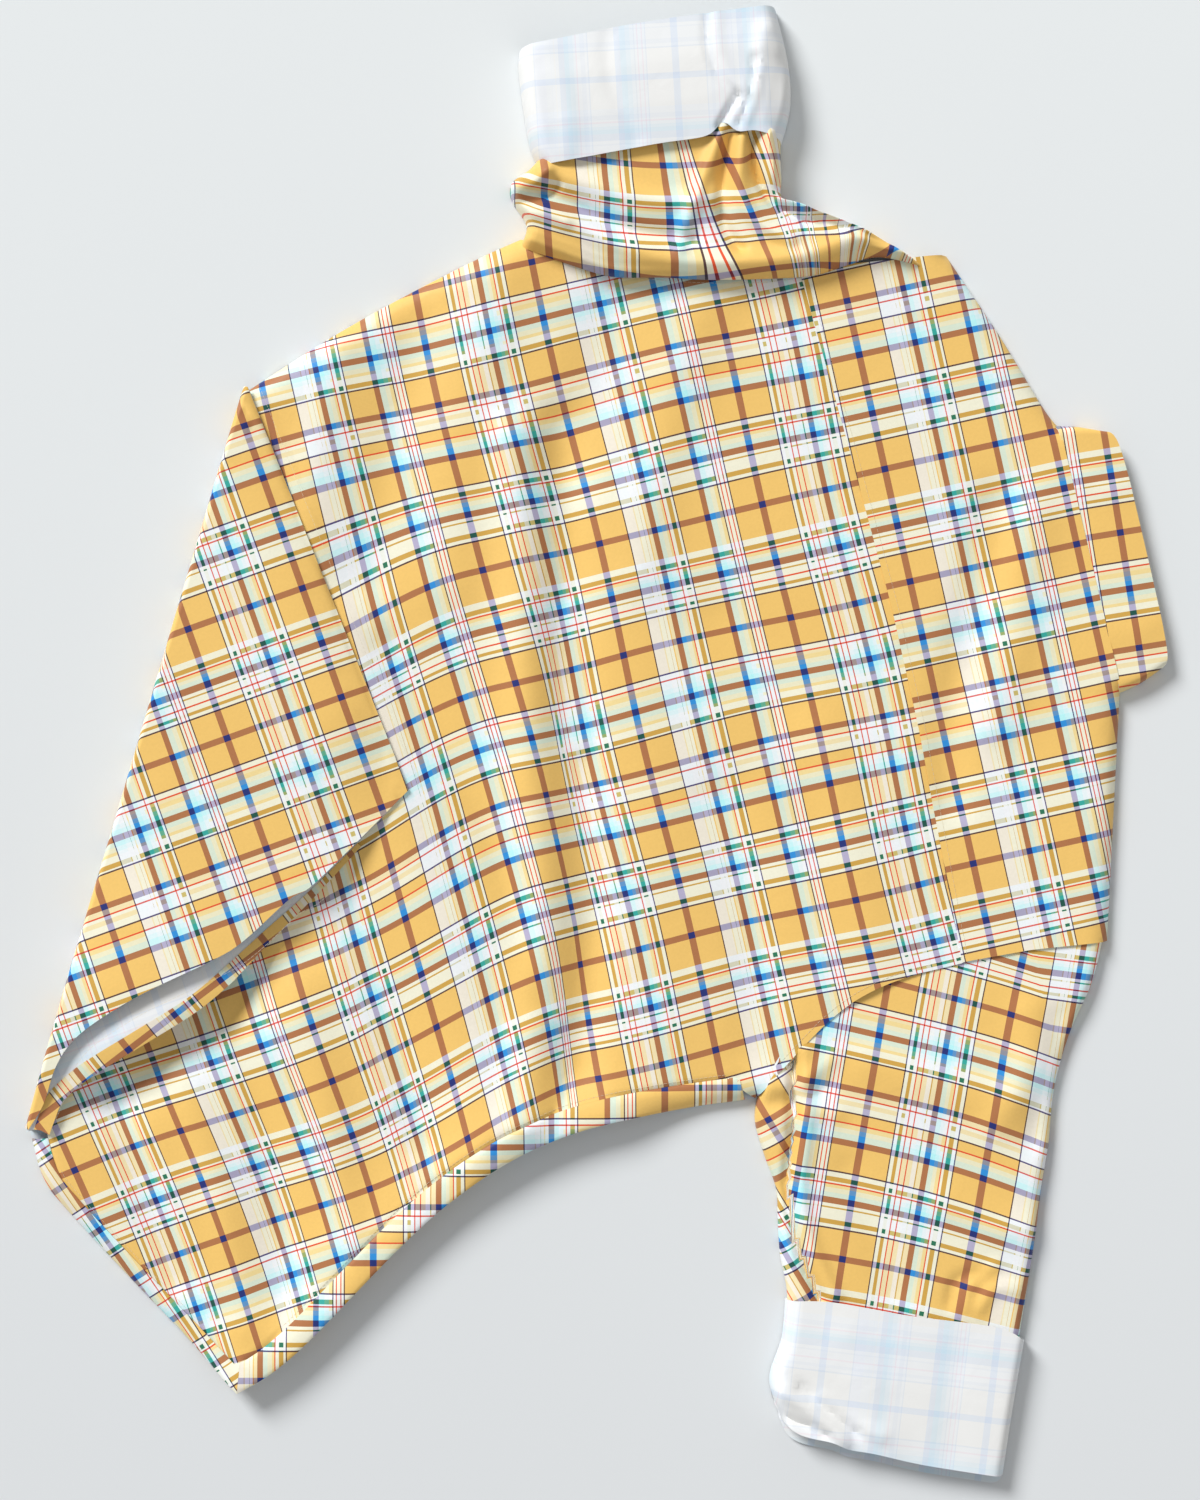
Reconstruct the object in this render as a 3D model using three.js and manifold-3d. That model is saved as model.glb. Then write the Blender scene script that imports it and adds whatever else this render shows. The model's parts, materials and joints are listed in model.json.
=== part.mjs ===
// A sleeved barber cape laid flat on a table, front side up.
// One right-hand corner of the hem is folded over the front and both sleeve ends are turned back.
// Millimetres, +Z up. The table is z = 0 and the cape's box is centred on the origin.
//
// The cape is cut in its own flat frame and then turned as a whole:
// u runs from the neck seam to the hem, v runs from the wearer's right to the wearer's left.

import * as THREE from 'three';
import { mergeVertices } from 'three/addons/utils/BufferGeometryUtils.js';
import Module from 'manifold-3d';

const wasm = await Module();
wasm.setup();

// ---------------------------------------------------------------- driving dimensions

// Cloth and the room that pieces keep from each other.
const CLOTH = 1.4;
const FACING = 0.8;
const GAP = 0.3;
const BODY_HEIGHT = 15.4;

// Body, cut flat.
const TURN_DEGREES = 193.24;
const NECK_FLAT = 220;
const SHOULDER_DROP = 55;
const LEFT_SHOULDER = 300;
const RIGHT_SHOULDER = 262;
const YOKE_DEPTH = 172;
const UNDERARM = 358;
const CHEST_HALF = 358;
const SIDE_LENGTH = 454;
const SIDE_FLARE = 132;
const CENTRE_LENGTH = 926;
const HEM_TURNING = 18;

// The folded corner of the hem.
const FOLD_START = [621, -286];
const FOLD_END = [CENTRE_LENGTH + 2, 250];
const FLAP_SEAM_END = [570, 55];
const FLAP_OPEN_HEIGHT = 27;

// Back opening, closed with snaps.
const LAP = 90;
const FACING_WIDTH = 60;
const SNAP_COUNT = 5;
const SNAP_FIRST = 40;
const SNAP_PITCH = 140;
const SNAP_RADIUS = 5;
const SNAP_SHANK = 1.5;
const SOCKET_HEIGHT = 1.2;
const SOCKET_FLOOR = 0.3;
const STUD_FLANGE = 0.7;
const STUD_CAP = 0.8;
const KNOB_DEPTH = 0.6;
const SHANK_CLEARANCE = 0.5;

// Left sleeve, laid out straight.
const LEFT_CUFF_DEPTH = 112;
const LEFT_SLEEVE_LENGTH = 235;
const LEFT_CUFF_HEIGHT = 22;

// Right sleeve, pushed up in folds.
const RIGHT_CUFF_DEPTH = 104;
const RIGHT_SLEEVE_RUN = 52;
const RIGHT_BUNCH_HEIGHT = 34;
const CUFF_TURNING = 20;

// Stand collar, a double band with a stiffener between.
const COLLAR_HEIGHT = 45;
const COLLAR_TAPER = 16;
const STIFFENER = 0.8;

const TALL = 200;

// ---------------------------------------------------------------- colours

const printed = new THREE.MeshStandardMaterial({ color: 0xf0bd5c, roughness: 0.55, metalness: 0 });
const reverse = new THREE.MeshStandardMaterial({ color: 0xecedf0, roughness: 0.7, metalness: 0 });
const stiffening = new THREE.MeshStandardMaterial({ color: 0xf4f4f2, roughness: 0.85, metalness: 0 });
const snapPlastic = new THREE.MeshStandardMaterial({ color: 0xf3efe4, roughness: 0.35, metalness: 0 });

// ---------------------------------------------------------------- solids

// A closed three.js mesh as a manifold solid.
function toSolid(geometry) {
  const bare = geometry.clone();
  bare.deleteAttribute('normal');
  bare.deleteAttribute('uv');
  const merged = mergeVertices(bare, 1e-4);
  const vertProperties = new Float32Array(merged.attributes.position.array);
  const triVerts = new Uint32Array(merged.index.array);
  return new wasm.Manifold(new wasm.Mesh({ numProp: 3, vertProperties, triVerts }));
}

// A manifold solid back as three.js geometry.
function toGeometry(solid) {
  const mesh = solid.getMesh();
  const geometry = new THREE.BufferGeometry();
  geometry.setAttribute('position', new THREE.BufferAttribute(new Float32Array(mesh.vertProperties), 3));
  geometry.setIndex(new THREE.BufferAttribute(new Uint32Array(mesh.triVerts), 1));
  return geometry;
}

// A flat outline of [u, v] points raised from one height to another.
function prism(outline, low, high) {
  const shape = new THREE.Shape(outline.map(([u, v]) => new THREE.Vector2(u, v)));
  const geometry = new THREE.ExtrudeGeometry(shape, { depth: high - low, bevelEnabled: false });
  geometry.translate(0, 0, low);
  return toSolid(geometry);
}

// A box between two corners.
function block([u0, v0, z0], [u1, v1, z1]) {
  const geometry = new THREE.BoxGeometry(u1 - u0, v1 - v0, z1 - z0);
  geometry.translate((u0 + u1) / 2, (v0 + v1) / 2, (z0 + z1) / 2);
  return toSolid(geometry);
}

// A turned piece standing at [u, v]; the profile is [radius, height] from bottom to top.
function turned(profile, [u, v]) {
  const geometry = new THREE.LatheGeometry(profile.map(([r, z]) => new THREE.Vector2(r, z)), 16);
  geometry.rotateX(Math.PI / 2);
  geometry.translate(u, v, 0);
  return toSolid(geometry);
}

// ---------------------------------------------------------------- outlines

// Points along a smooth curve through the given ones, the first and last kept.
function smooth(points, steps) {
  const curve = new THREE.SplineCurve(points.map(([u, v]) => new THREE.Vector2(u, v)));
  return curve.getPoints(steps).map((point) => [point.x, point.y]);
}

// The direction to the right of the way from one point to the next.
function rightOf(start, end) {
  const length = Math.hypot(end[0] - start[0], end[1] - start[1]);
  return [(end[1] - start[1]) / length, (start[0] - end[0]) / length];
}

// A point moved to the right of the line that comes to it and leaves it, mitred at a corner.
function mitred(before, point, after, distance) {
  const first = rightOf(before ?? point, before ? point : after);
  const second = rightOf(after ? point : before, after ?? point);
  const sum = [first[0] + second[0], first[1] + second[1]];
  const reach = (2 * distance) / (sum[0] ** 2 + sum[1] ** 2);
  return [point[0] + sum[0] * reach, point[1] + sum[1] * reach];
}

// The line's points moved sideways, to the right of its direction.
function beside(line, distance) {
  return line.map((point, index) => mitred(line[index - 1], point, line[index + 1], distance));
}

// The same for an outline that closes on itself.
function inset(outline, distance) {
  const count = outline.length;
  return outline.map((point, index) => {
    const before = outline[(index + count - 1) % count];
    const after = outline[(index + 1) % count];
    return mitred(before, point, after, distance);
  });
}

// A point between two others.
function between(start, end, share) {
  return [start[0] + (end[0] - start[0]) * share, start[1] + (end[1] - start[1]) * share];
}

// A narrow wall of cloth standing along a line, on its right side.
function wall(line, thickness, low, high) {
  return prism([...line, ...beside(line, thickness).reverse()], low, high);
}

// ---------------------------------------------------------------- flattened tubes

const END_STEPS = 4;

// A station is one flattened section of a tube: its two edges and its heights.
function station(edgeA, edgeB, low, high) {
  return { edgeA, edgeB, low, high };
}

// The same section made larger on every side, or smaller with a negative number.
function grown({ edgeA, edgeB, low, high }, by) {
  const width = Math.hypot(edgeB[0] - edgeA[0], edgeB[1] - edgeA[1]);
  return station(
    between(edgeA, edgeB, -by / width),
    between(edgeB, edgeA, -by / width),
    low - by,
    high + by,
  );
}

// The section part of the way from one station to the next.
function midway(first, second, share) {
  return station(
    between(first.edgeA, second.edgeA, share),
    between(first.edgeB, second.edgeB, share),
    first.low + (second.low - first.low) * share,
    first.high + (second.high - first.high) * share,
  );
}

// The ring of points round one station, with round ends.
function ring({ edgeA, edgeB, low, high }) {
  const width = Math.hypot(edgeB[0] - edgeA[0], edgeB[1] - edgeA[1]);
  const radius = (high - low) / 2;
  const middle = (high + low) / 2;
  const points = [];
  for (const [end, other, side] of [[edgeB, edgeA, 1], [edgeA, edgeB, -1]]) {
    const centre = between(end, other, radius / width);
    for (let step = 0; step <= END_STEPS; step += 1) {
      const angle = (step / END_STEPS - 0.5) * Math.PI;
      const out = (Math.cos(angle) * radius) / width;
      const rise = Math.sin(angle) * radius * side;
      points.push([
        centre[0] + (end[0] - other[0]) * out,
        centre[1] + (end[1] - other[1]) * out,
        middle + rise,
      ]);
    }
  }
  return points;
}

// An open-ended flattened tube of cloth through the stations.
function flatTube(stations, thickness) {
  const outer = stations.map(ring);
  const inner = stations.map((section) => ring(grown(section, -thickness)));
  const count = outer[0].length;
  const positions = [...outer, ...inner].flat(2);
  const at = (loop, index) => loop * count + (index % count);
  const last = stations.length - 1;
  const faces = [];
  const quad = (a, b, c, d) => faces.push(a, b, c, a, c, d);
  for (let index = 0; index < count; index += 1) {
    for (let loop = 0; loop < last; loop += 1) {
      const core = loop + stations.length;
      quad(at(loop, index), at(loop, index + 1), at(loop + 1, index + 1), at(loop + 1, index));
      quad(at(core, index), at(core + 1, index), at(core + 1, index + 1), at(core, index + 1));
    }
    const coreEnd = last + stations.length;
    const coreStart = stations.length;
    quad(at(0, index), at(coreStart, index), at(coreStart, index + 1), at(0, index + 1));
    quad(at(last, index), at(last, index + 1), at(coreEnd, index + 1), at(coreEnd, index));
  }
  return toSolid(facingOut(positions, faces));
}

// Indexed geometry whose faces point out, whichever way the loops ran.
function facingOut(positions, faces) {
  const corner = (index) => new THREE.Vector3().fromArray(positions, index * 3);
  let volume = 0;
  for (let face = 0; face < faces.length; face += 3) {
    const [a, b, c] = [corner(faces[face]), corner(faces[face + 1]), corner(faces[face + 2])];
    volume += a.dot(b.cross(c));
  }
  const geometry = new THREE.BufferGeometry();
  geometry.setAttribute('position', new THREE.Float32BufferAttribute(positions, 3));
  geometry.setIndex(volume > 0 ? faces : [...faces].reverse());
  return geometry;
}

// ---------------------------------------------------------------- the body's outline

const neckHalf = NECK_FLAT / 2;
const neckRight = [0, -neckHalf];
const neckLeft = [0, neckHalf];
const leftShoulderTip = [SHOULDER_DROP, LEFT_SHOULDER];
const rightShoulderTip = [SHOULDER_DROP, -RIGHT_SHOULDER];
const leftUnderarm = [UNDERARM, CHEST_HALF];
const rightUnderarm = [UNDERARM + 25, 5 - CHEST_HALF];

const leftArmhole = smooth([
  leftShoulderTip,
  [YOKE_DEPTH, LEFT_SHOULDER - 10],
  [(YOKE_DEPTH + UNDERARM) / 2, LEFT_SHOULDER],
  leftUnderarm,
], 9);

const rightArmhole = [
  rightUnderarm,
  [UNDERARM, 30 - CHEST_HALF],
  [YOKE_DEPTH, -RIGHT_SHOULDER],
  rightShoulderTip,
];

// The left side seam dips in under the arm and then flares to the hem corner.
const leftSide = smooth([
  leftUnderarm,
  [UNDERARM + SIDE_LENGTH * 0.32, CHEST_HALF - 8],
  [UNDERARM + SIDE_LENGTH * 0.57, CHEST_HALF + SIDE_FLARE * 0.19],
  [UNDERARM + SIDE_LENGTH * 0.88, CHEST_HALF + SIDE_FLARE * 0.84],
  [UNDERARM + SIDE_LENGTH, CHEST_HALF + SIDE_FLARE],
], 12);

const hemCorner = leftSide[leftSide.length - 1];
const hem = [hemCorner, [CENTRE_LENGTH, FOLD_END[1] + 40], FOLD_END];
const fold = [FOLD_END, FOLD_START];
const rightSide = smooth([
  FOLD_START,
  between(FOLD_START, rightUnderarm, 0.55),
  rightUnderarm,
], 4);

// Joins runs of points that share their end points into one outline.
function joined(...runs) {
  return runs.flatMap((run) => run.slice(0, -1));
}

const backOutline = joined(
  [neckRight, neckLeft],
  [neckLeft, leftShoulderTip],
  leftArmhole,
  leftSide,
  hem,
  fold,
  rightSide,
  rightArmhole,
  [rightShoulderTip, neckRight],
);

// The front lies inside the walls that the back panels raise round the body's edge.
const edgeRoom = CLOTH + GAP;
const frontOutline = inset(backOutline, edgeRoom);

const bodyTop = BODY_HEIGHT;
const frontLow = bodyTop - CLOTH;

// ---------------------------------------------------------------- front pieces

function frontPiece(uLow, uHigh) {
  const cut = block([uLow, -TALL * 5, 0], [uHigh, TALL * 5, TALL]);
  return prism(frontOutline, frontLow, bodyTop).intersect(cut);
}

function makeFrontYoke() {
  return frontPiece(-TALL, YOKE_DEPTH - GAP / 2);
}

function makeFrontPanel() {
  return frontPiece(YOKE_DEPTH + GAP / 2, CENTRE_LENGTH + TALL);
}

// The folded-in edge under the front's hem, between the side seam and the folded corner.
const openHem = beside(hem.slice(0, 2), edgeRoom);

function hemTurning(low, high) {
  const start = between(openHem[0], openHem[1], 0.04);
  const end = between(openHem[0], openHem[1], 0.96);
  return wall([start, end], HEM_TURNING, low, high);
}

// ---------------------------------------------------------------- back pieces

// Between the two back halves lie the outer facing, the snaps' sockets and the studs' flanges.
const lapHalf = LAP / 2;
const lowerFacing = CLOTH + GAP;
const socketSeat = lowerFacing + FACING + GAP;
const socketTop = socketSeat + SOCKET_HEIGHT;
const flangeTop = socketTop + GAP + STUD_FLANGE;
const lapLow = flangeTop + GAP;
const lapHigh = lapLow + CLOTH;
const upperFacing = lapHigh + GAP;

// A slice of the body's outline between two v values.
function backSlice(vLow, vHigh, low, high) {
  const cut = block([-TALL, vLow, low], [CENTRE_LENGTH + TALL, vHigh, high]);
  return prism(backOutline, low, high).intersect(cut);
}

function union(first, ...others) {
  return others.reduce((solid, other) => solid.add(other), first);
}

// Walls that stand on the panel along the given runs of its edge, cut to the body's outline.
function edgeWalls(runs) {
  const walls = runs.map((run) => wall(run, CLOTH, 0, bodyTop));
  return union(...walls).intersect(prism(backOutline, 0, bodyTop));
}

function makeBackPanelLeft() {
  const plate = backSlice(-lapHalf, TALL * 5, 0, CLOTH);
  const foldRun = [FOLD_END, between(FOLD_END, FOLD_START, 0.3)];
  const walls = edgeWalls([[neckLeft, leftShoulderTip], leftSide, foldRun]);
  return union(plate, walls).subtract(snapHoles(0, CLOTH));
}

function makeBackPanelRight() {
  const joggle = -lapHalf - GAP - CLOTH;
  const plate = backSlice(-TALL * 5, joggle + CLOTH, 0, CLOTH);
  const riser = backSlice(joggle, joggle + CLOTH, 0, lapHigh);
  const lap = backSlice(joggle, lapHalf, lapLow, lapHigh);
  const lapEnd = block([CENTRE_LENGTH * 0.8, joggle, 0], [CENTRE_LENGTH + TALL, lapHalf, TALL]);
  const foldRun = [between(FOLD_END, FOLD_START, 0.62), FOLD_START];
  const walls = edgeWalls([foldRun, rightSide, [rightShoulderTip, neckRight]]);
  const body = union(plate, riser, lap.subtract(lapEnd), walls);
  return body.subtract(snapHoles(lapLow, lapHigh));
}

function makeFacing(vLow, vHigh, low) {
  const room = SNAP_FIRST / 2;
  const length = SNAP_FIRST + SNAP_PITCH * (SNAP_COUNT - 1) + room;
  const strip = block([room, vLow, low], [length, vHigh, low + FACING]);
  return strip.subtract(snapHoles(low, low + FACING));
}

// ---------------------------------------------------------------- snaps

const snapPlaces = Array.from({ length: SNAP_COUNT }, (_, index) => [SNAP_FIRST + SNAP_PITCH * index, 0]);

function snapHoles(low, high) {
  const radius = SNAP_SHANK + SHANK_CLEARANCE;
  const holes = snapPlaces.map((place) => turned([
    [0, low - 1],
    [radius, low - 1],
    [radius, high + 1],
    [0, high + 1],
  ], place));
  return union(...holes);
}

const socketBore = SNAP_SHANK * 0.8;

// The socket half: its shank fills the hole of the outer panel and its ring lies on the facing.
function makeSnapSocket(place) {
  return turned([
    [0, 0],
    [SNAP_SHANK, 0],
    [SNAP_SHANK, socketSeat],
    [SNAP_RADIUS, socketSeat],
    [SNAP_RADIUS, socketTop],
    [socketBore, socketTop],
    [socketBore, socketSeat + SOCKET_FLOOR],
    [0, socketSeat + SOCKET_FLOOR],
  ], place);
}

// The stud half: knob in the socket, flange under the inner panel, cap above its facing.
function makeSnapStud(place) {
  const knob = socketBore - GAP / 2;
  const capLow = upperFacing + FACING + GAP;
  return turned([
    [0, socketTop - KNOB_DEPTH],
    [knob, socketTop - KNOB_DEPTH],
    [knob, socketTop + GAP],
    [SNAP_RADIUS, socketTop + GAP],
    [SNAP_RADIUS, flangeTop],
    [SNAP_SHANK, flangeTop],
    [SNAP_SHANK, capLow],
    [SNAP_RADIUS, capLow],
    [SNAP_RADIUS, capLow + STUD_CAP],
    [0, capLow + STUD_CAP],
  ], place);
}

// ---------------------------------------------------------------- sleeves

// The sleeves fold over the body along these straight lines, just outside the armholes.
const leftFold = [[SHOULDER_DROP + 4, LEFT_SHOULDER + 12], [UNDERARM, CHEST_HALF + 6]];
const rightFold = [[128, -304], [UNDERARM + 22, -6 - CHEST_HALF]];

// The part of a sleeve between its armhole and its fold line.
function sleeveHead(armhole, foldLine, low, high) {
  const seam = beside(armhole, -GAP);
  const outline = [...seam, ...beside(foldLine, -GAP / 2)];
  return prism(outline, low, high);
}

function makeLeftHead(low, high) {
  return sleeveHead(leftArmhole, [leftFold[1], leftFold[0]], low, high);
}

function makeRightHead(low, high) {
  return sleeveHead(rightArmhole, rightFold, low, high);
}

// Moves a [u, v] point by a length along a direction given as [u, v].
function moved([u, v], [du, dv], length) {
  const size = Math.hypot(du, dv);
  return [u + (du / size) * length, v + (dv / size) * length];
}

const leftInnerRun = [0.03, 1];
const leftOuterRun = [0.43, 1];
const leftCuffRun = [0.24, 1];
const cuffRoom = CLOTH + FACING + GAP * 2;

function leftSleeveStations() {
  const inner = moved(leftFold[1], leftInnerRun, GAP);
  const outer = moved(leftFold[0], leftOuterRun, GAP);
  const start = station(inner, outer, 0, bodyTop);
  const elbow = station(
    moved([UNDERARM - 6, leftFold[1][1]], leftInnerRun, LEFT_SLEEVE_LENGTH * 0.34),
    moved(leftFold[0], leftOuterRun, LEFT_SLEEVE_LENGTH * 0.6),
    0,
    bodyTop,
  );
  const cuffInner = moved(leftFold[1], [0.07, 1], LEFT_SLEEVE_LENGTH * 0.66);
  const cuffOuter = moved(leftFold[0], leftOuterRun, LEFT_SLEEVE_LENGTH * 1.28);
  const cuff = station(cuffInner, cuffOuter, cuffRoom, LEFT_CUFF_HEIGHT - cuffRoom);
  const mouth = station(
    moved(cuffInner, leftCuffRun, LEFT_CUFF_DEPTH),
    moved(cuffOuter, leftCuffRun, LEFT_CUFF_DEPTH),
    cuffRoom,
    LEFT_CUFF_HEIGHT - cuffRoom,
  );
  return [start, elbow, cuff, mouth];
}

const rightInnerRun = [-0.35, -1];
const rightOuterRun = [0.42, -1];
const rightCuffRun = [-0.03, -1];

function rightSleeveStations() {
  const inner = moved(rightFold[1], rightInnerRun, GAP);
  const outer = moved(rightFold[0], rightOuterRun, GAP);
  const start = station(inner, outer, 0, bodyTop + 4);
  const bunch = station(
    moved(rightFold[1], [0.1, -1], RIGHT_SLEEVE_RUN * 0.4),
    moved(rightFold[0], rightOuterRun, RIGHT_SLEEVE_RUN * 0.8),
    0,
    RIGHT_BUNCH_HEIGHT,
  );
  const cuffInner = moved(rightFold[1], [-0.6, -1], RIGHT_SLEEVE_RUN * 0.9);
  const cuffOuter = moved(rightFold[0], rightOuterRun, RIGHT_SLEEVE_RUN * 1.6);
  const cuff = station(cuffInner, cuffOuter, cuffRoom, RIGHT_BUNCH_HEIGHT - cuffRoom);
  const mouth = station(
    moved(cuffInner, rightCuffRun, RIGHT_CUFF_DEPTH - 4),
    moved(cuffOuter, rightCuffRun, RIGHT_CUFF_DEPTH),
    cuffRoom,
    RIGHT_BUNCH_HEIGHT - 6 - cuffRoom,
  );
  return [start, bunch, cuff, mouth];
}

// The turned-back end of a sleeve: the cloth comes out of the mouth and lies round the tube.
function makeCuff(stations) {
  const [cuff, mouth] = stations.slice(-2);
  const around = (share) => grown(midway(cuff, mouth, share), cuffRoom);
  return flatTube([around(0.02), around(0.5), around(1)], CLOTH);
}

// The folded-in raw edge between the cuff and the sleeve.
function makeCuffTurning(stations, depth) {
  const [cuff, mouth] = stations.slice(-2);
  const around = (share) => grown(midway(cuff, mouth, share), GAP + FACING);
  return flatTube([around(0.03), around(0.03 + CUFF_TURNING / depth)], FACING);
}

// ---------------------------------------------------------------- collar

const collarBase = -GAP;

function collarStations(inset) {
  const edge = neckHalf;
  const tip = edge - COLLAR_TAPER;
  const start = station([collarBase, -edge], [collarBase, edge], 0, bodyTop);
  const end = station([collarBase - COLLAR_HEIGHT, -tip], [collarBase - COLLAR_HEIGHT, tip], 0, bodyTop);
  return [grown(start, -inset), grown(end, -inset)];
}

// One layer of the collar, open at the middle of its back.
function makeCollarLayer(inset, thickness) {
  const slit = block([-COLLAR_HEIGHT * 2, -GAP, -1], [TALL, GAP, bodyTop / 2]);
  return flatTube(collarStations(inset), thickness).subtract(slit);
}

// ---------------------------------------------------------------- folded corner

const flapLow = bodyTop + GAP;
const flapTop = FLAP_OPEN_HEIGHT;
const flapSeam = [FOLD_START, FLAP_SEAM_END];
const backHemEnd = between(FOLD_END, FOLD_START, 0.06);

// A point part of the way along the folded corner's hem, bulging towards the fold.
function onFlapHem(share, bulge) {
  const point = between(FLAP_SEAM_END, FOLD_END, share);
  const [side] = beside([point, FOLD_END], bulge);
  return side;
}

const frontFlapHem = smooth([
  FLAP_SEAM_END,
  onFlapHem(0.24, -10),
  onFlapHem(0.64, 8),
  onFlapHem(0.82, 28),
  FOLD_END,
], 10);
const backFlapHem = smooth([
  FLAP_SEAM_END,
  onFlapHem(0.37, 2),
  onFlapHem(0.74, 41),
  backHemEnd,
], 8);

// The corner's outlines run along the side seam, the hem and back along the fold.
function makeFlapFront() {
  const outline = joined(
    [FOLD_START, FLAP_SEAM_END],
    frontFlapHem,
    [FOLD_END, FOLD_START],
  );
  const body = prism(outline, flapLow, flapLow + CLOTH);
  const seamWall = wall(flapSeam, edgeRoom, 0, TALL);
  const foldWall = wall(fold, edgeRoom, 0, TALL);
  return body.subtract(seamWall).subtract(foldWall);
}

function makeFlapBack() {
  const outline = joined(
    [FOLD_START, FLAP_SEAM_END],
    backFlapHem,
    [backHemEnd, FOLD_START],
  );
  const roof = prism(outline, flapTop - CLOTH, flapTop);
  const seamEnd = between(FOLD_START, FLAP_SEAM_END, 0.97);
  const seamWall = wall([FOLD_START, seamEnd], CLOTH, flapLow, flapTop);
  const foldWall = wall([backHemEnd, FOLD_START], CLOTH, flapLow, flapTop);
  return union(roof, seamWall, foldWall).intersect(prism(outline, flapLow, flapTop));
}

function flapTurning(edge, low) {
  const reach = edge.slice(1, -3);
  const line = beside(reach, edgeRoom);
  return wall(line, HEM_TURNING, low, low + FACING);
}

// ---------------------------------------------------------------- assembly

const cape = new THREE.Group();
cape.rotation.z = THREE.MathUtils.degToRad(TURN_DEGREES);

function addPiece(name, solid, material) {
  const mesh = new THREE.Mesh(toGeometry(solid), material);
  mesh.name = name;
  cape.add(mesh);
}

addPiece('front_yoke', makeFrontYoke(), printed);
addPiece('front_panel', makeFrontPanel(), printed);
addPiece('front_hem_turning', hemTurning(frontLow - GAP - FACING, frontLow - GAP), reverse);
addPiece('back_panel_left', makeBackPanelLeft(), printed);
addPiece('back_panel_right', makeBackPanelRight(), printed);
addPiece('back_hem_turning', hemTurning(CLOTH + GAP, CLOTH + GAP + FACING), reverse);
addPiece('back_facing_left', makeFacing(-lapHalf, FACING_WIDTH - lapHalf, lowerFacing), reverse);
addPiece('back_facing_right', makeFacing(lapHalf - FACING_WIDTH, lapHalf, upperFacing), reverse);

snapPlaces.forEach((place, index) => {
  addPiece(`snap_socket_${index + 1}`, makeSnapSocket(place), snapPlastic);
  addPiece(`snap_stud_${index + 1}`, makeSnapStud(place), snapPlastic);
});

addPiece('left_sleeve_head_front', makeLeftHead(frontLow, bodyTop), printed);
addPiece('left_sleeve_head_back', makeLeftHead(0, CLOTH), printed);
addPiece('right_sleeve_head_front', makeRightHead(frontLow, bodyTop), printed);
addPiece('right_sleeve_head_back', makeRightHead(0, CLOTH), printed);

const leftStations = leftSleeveStations();
addPiece('left_sleeve', flatTube(leftStations, CLOTH), printed);
addPiece('left_cuff', makeCuff(leftStations), reverse);
addPiece('left_cuff_turning', makeCuffTurning(leftStations, LEFT_CUFF_DEPTH), reverse);

const rightStations = rightSleeveStations();
addPiece('right_sleeve', flatTube(rightStations, CLOTH), printed);
addPiece('right_cuff', makeCuff(rightStations), reverse);
addPiece('right_cuff_turning', makeCuffTurning(rightStations, RIGHT_CUFF_DEPTH), reverse);

const stiffenerInset = CLOTH + GAP;
const innerInset = stiffenerInset + STIFFENER + GAP;
addPiece('collar_outer', makeCollarLayer(0, CLOTH), printed);
addPiece('collar_stiffener', makeCollarLayer(stiffenerInset, STIFFENER), stiffening);
addPiece('collar_inner', makeCollarLayer(innerInset, CLOTH), printed);

addPiece('flap_front', makeFlapFront(), reverse);
addPiece('flap_front_turning', flapTurning(frontFlapHem, flapLow + CLOTH + GAP), printed);
addPiece('flap_back', makeFlapBack(), printed);
addPiece('flap_back_turning', flapTurning(backFlapHem, flapTop - CLOTH - GAP - FACING), reverse);

// The whole cape is moved so that its box is centred on the origin, on the table.
cape.updateMatrixWorld(true);
const box = new THREE.Box3().setFromObject(cape, true);
const centre = box.getCenter(new THREE.Vector3());
const assembly = new THREE.Group();
cape.position.set(-centre.x, -centre.y, -box.min.z);
assembly.add(cape);

export default assembly;
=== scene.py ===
# %% [markdown]
# # A sleeved barber cape, laid flat
# The cape is one big garment of thin printed polyester: a body with a yoke, a back that closes
# with snaps, two sleeves with their ends turned back, and a stand collar. Here it lies on a
# table with its front up and one corner of the hem folded over. Thin cloth like this is best
# built from measured outlines: every panel is a flat cut that is then laid on the ones below.

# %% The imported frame
import json
import math
import bpy
import numpy as np
from mathutils.geometry import delaunay_2d_cdt
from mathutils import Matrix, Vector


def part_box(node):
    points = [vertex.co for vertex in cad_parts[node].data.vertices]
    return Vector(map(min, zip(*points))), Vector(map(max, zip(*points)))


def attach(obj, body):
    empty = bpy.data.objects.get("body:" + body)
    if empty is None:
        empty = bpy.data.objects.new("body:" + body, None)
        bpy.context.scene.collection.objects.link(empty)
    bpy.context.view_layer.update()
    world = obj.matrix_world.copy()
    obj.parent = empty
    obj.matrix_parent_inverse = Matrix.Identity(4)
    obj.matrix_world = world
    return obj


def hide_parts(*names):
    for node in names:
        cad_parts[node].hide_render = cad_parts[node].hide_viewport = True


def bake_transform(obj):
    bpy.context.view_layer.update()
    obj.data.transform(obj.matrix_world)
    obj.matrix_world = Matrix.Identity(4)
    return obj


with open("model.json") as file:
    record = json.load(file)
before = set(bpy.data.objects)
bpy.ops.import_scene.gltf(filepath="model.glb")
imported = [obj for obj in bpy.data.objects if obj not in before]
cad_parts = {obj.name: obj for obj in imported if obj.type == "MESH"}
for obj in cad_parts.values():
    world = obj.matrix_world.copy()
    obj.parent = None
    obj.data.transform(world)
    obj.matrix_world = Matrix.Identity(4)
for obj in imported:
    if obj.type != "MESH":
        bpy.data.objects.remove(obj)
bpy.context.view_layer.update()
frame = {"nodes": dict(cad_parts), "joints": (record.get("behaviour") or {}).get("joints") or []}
bpy.ops.object.select_all(action="DESELECT")
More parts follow.
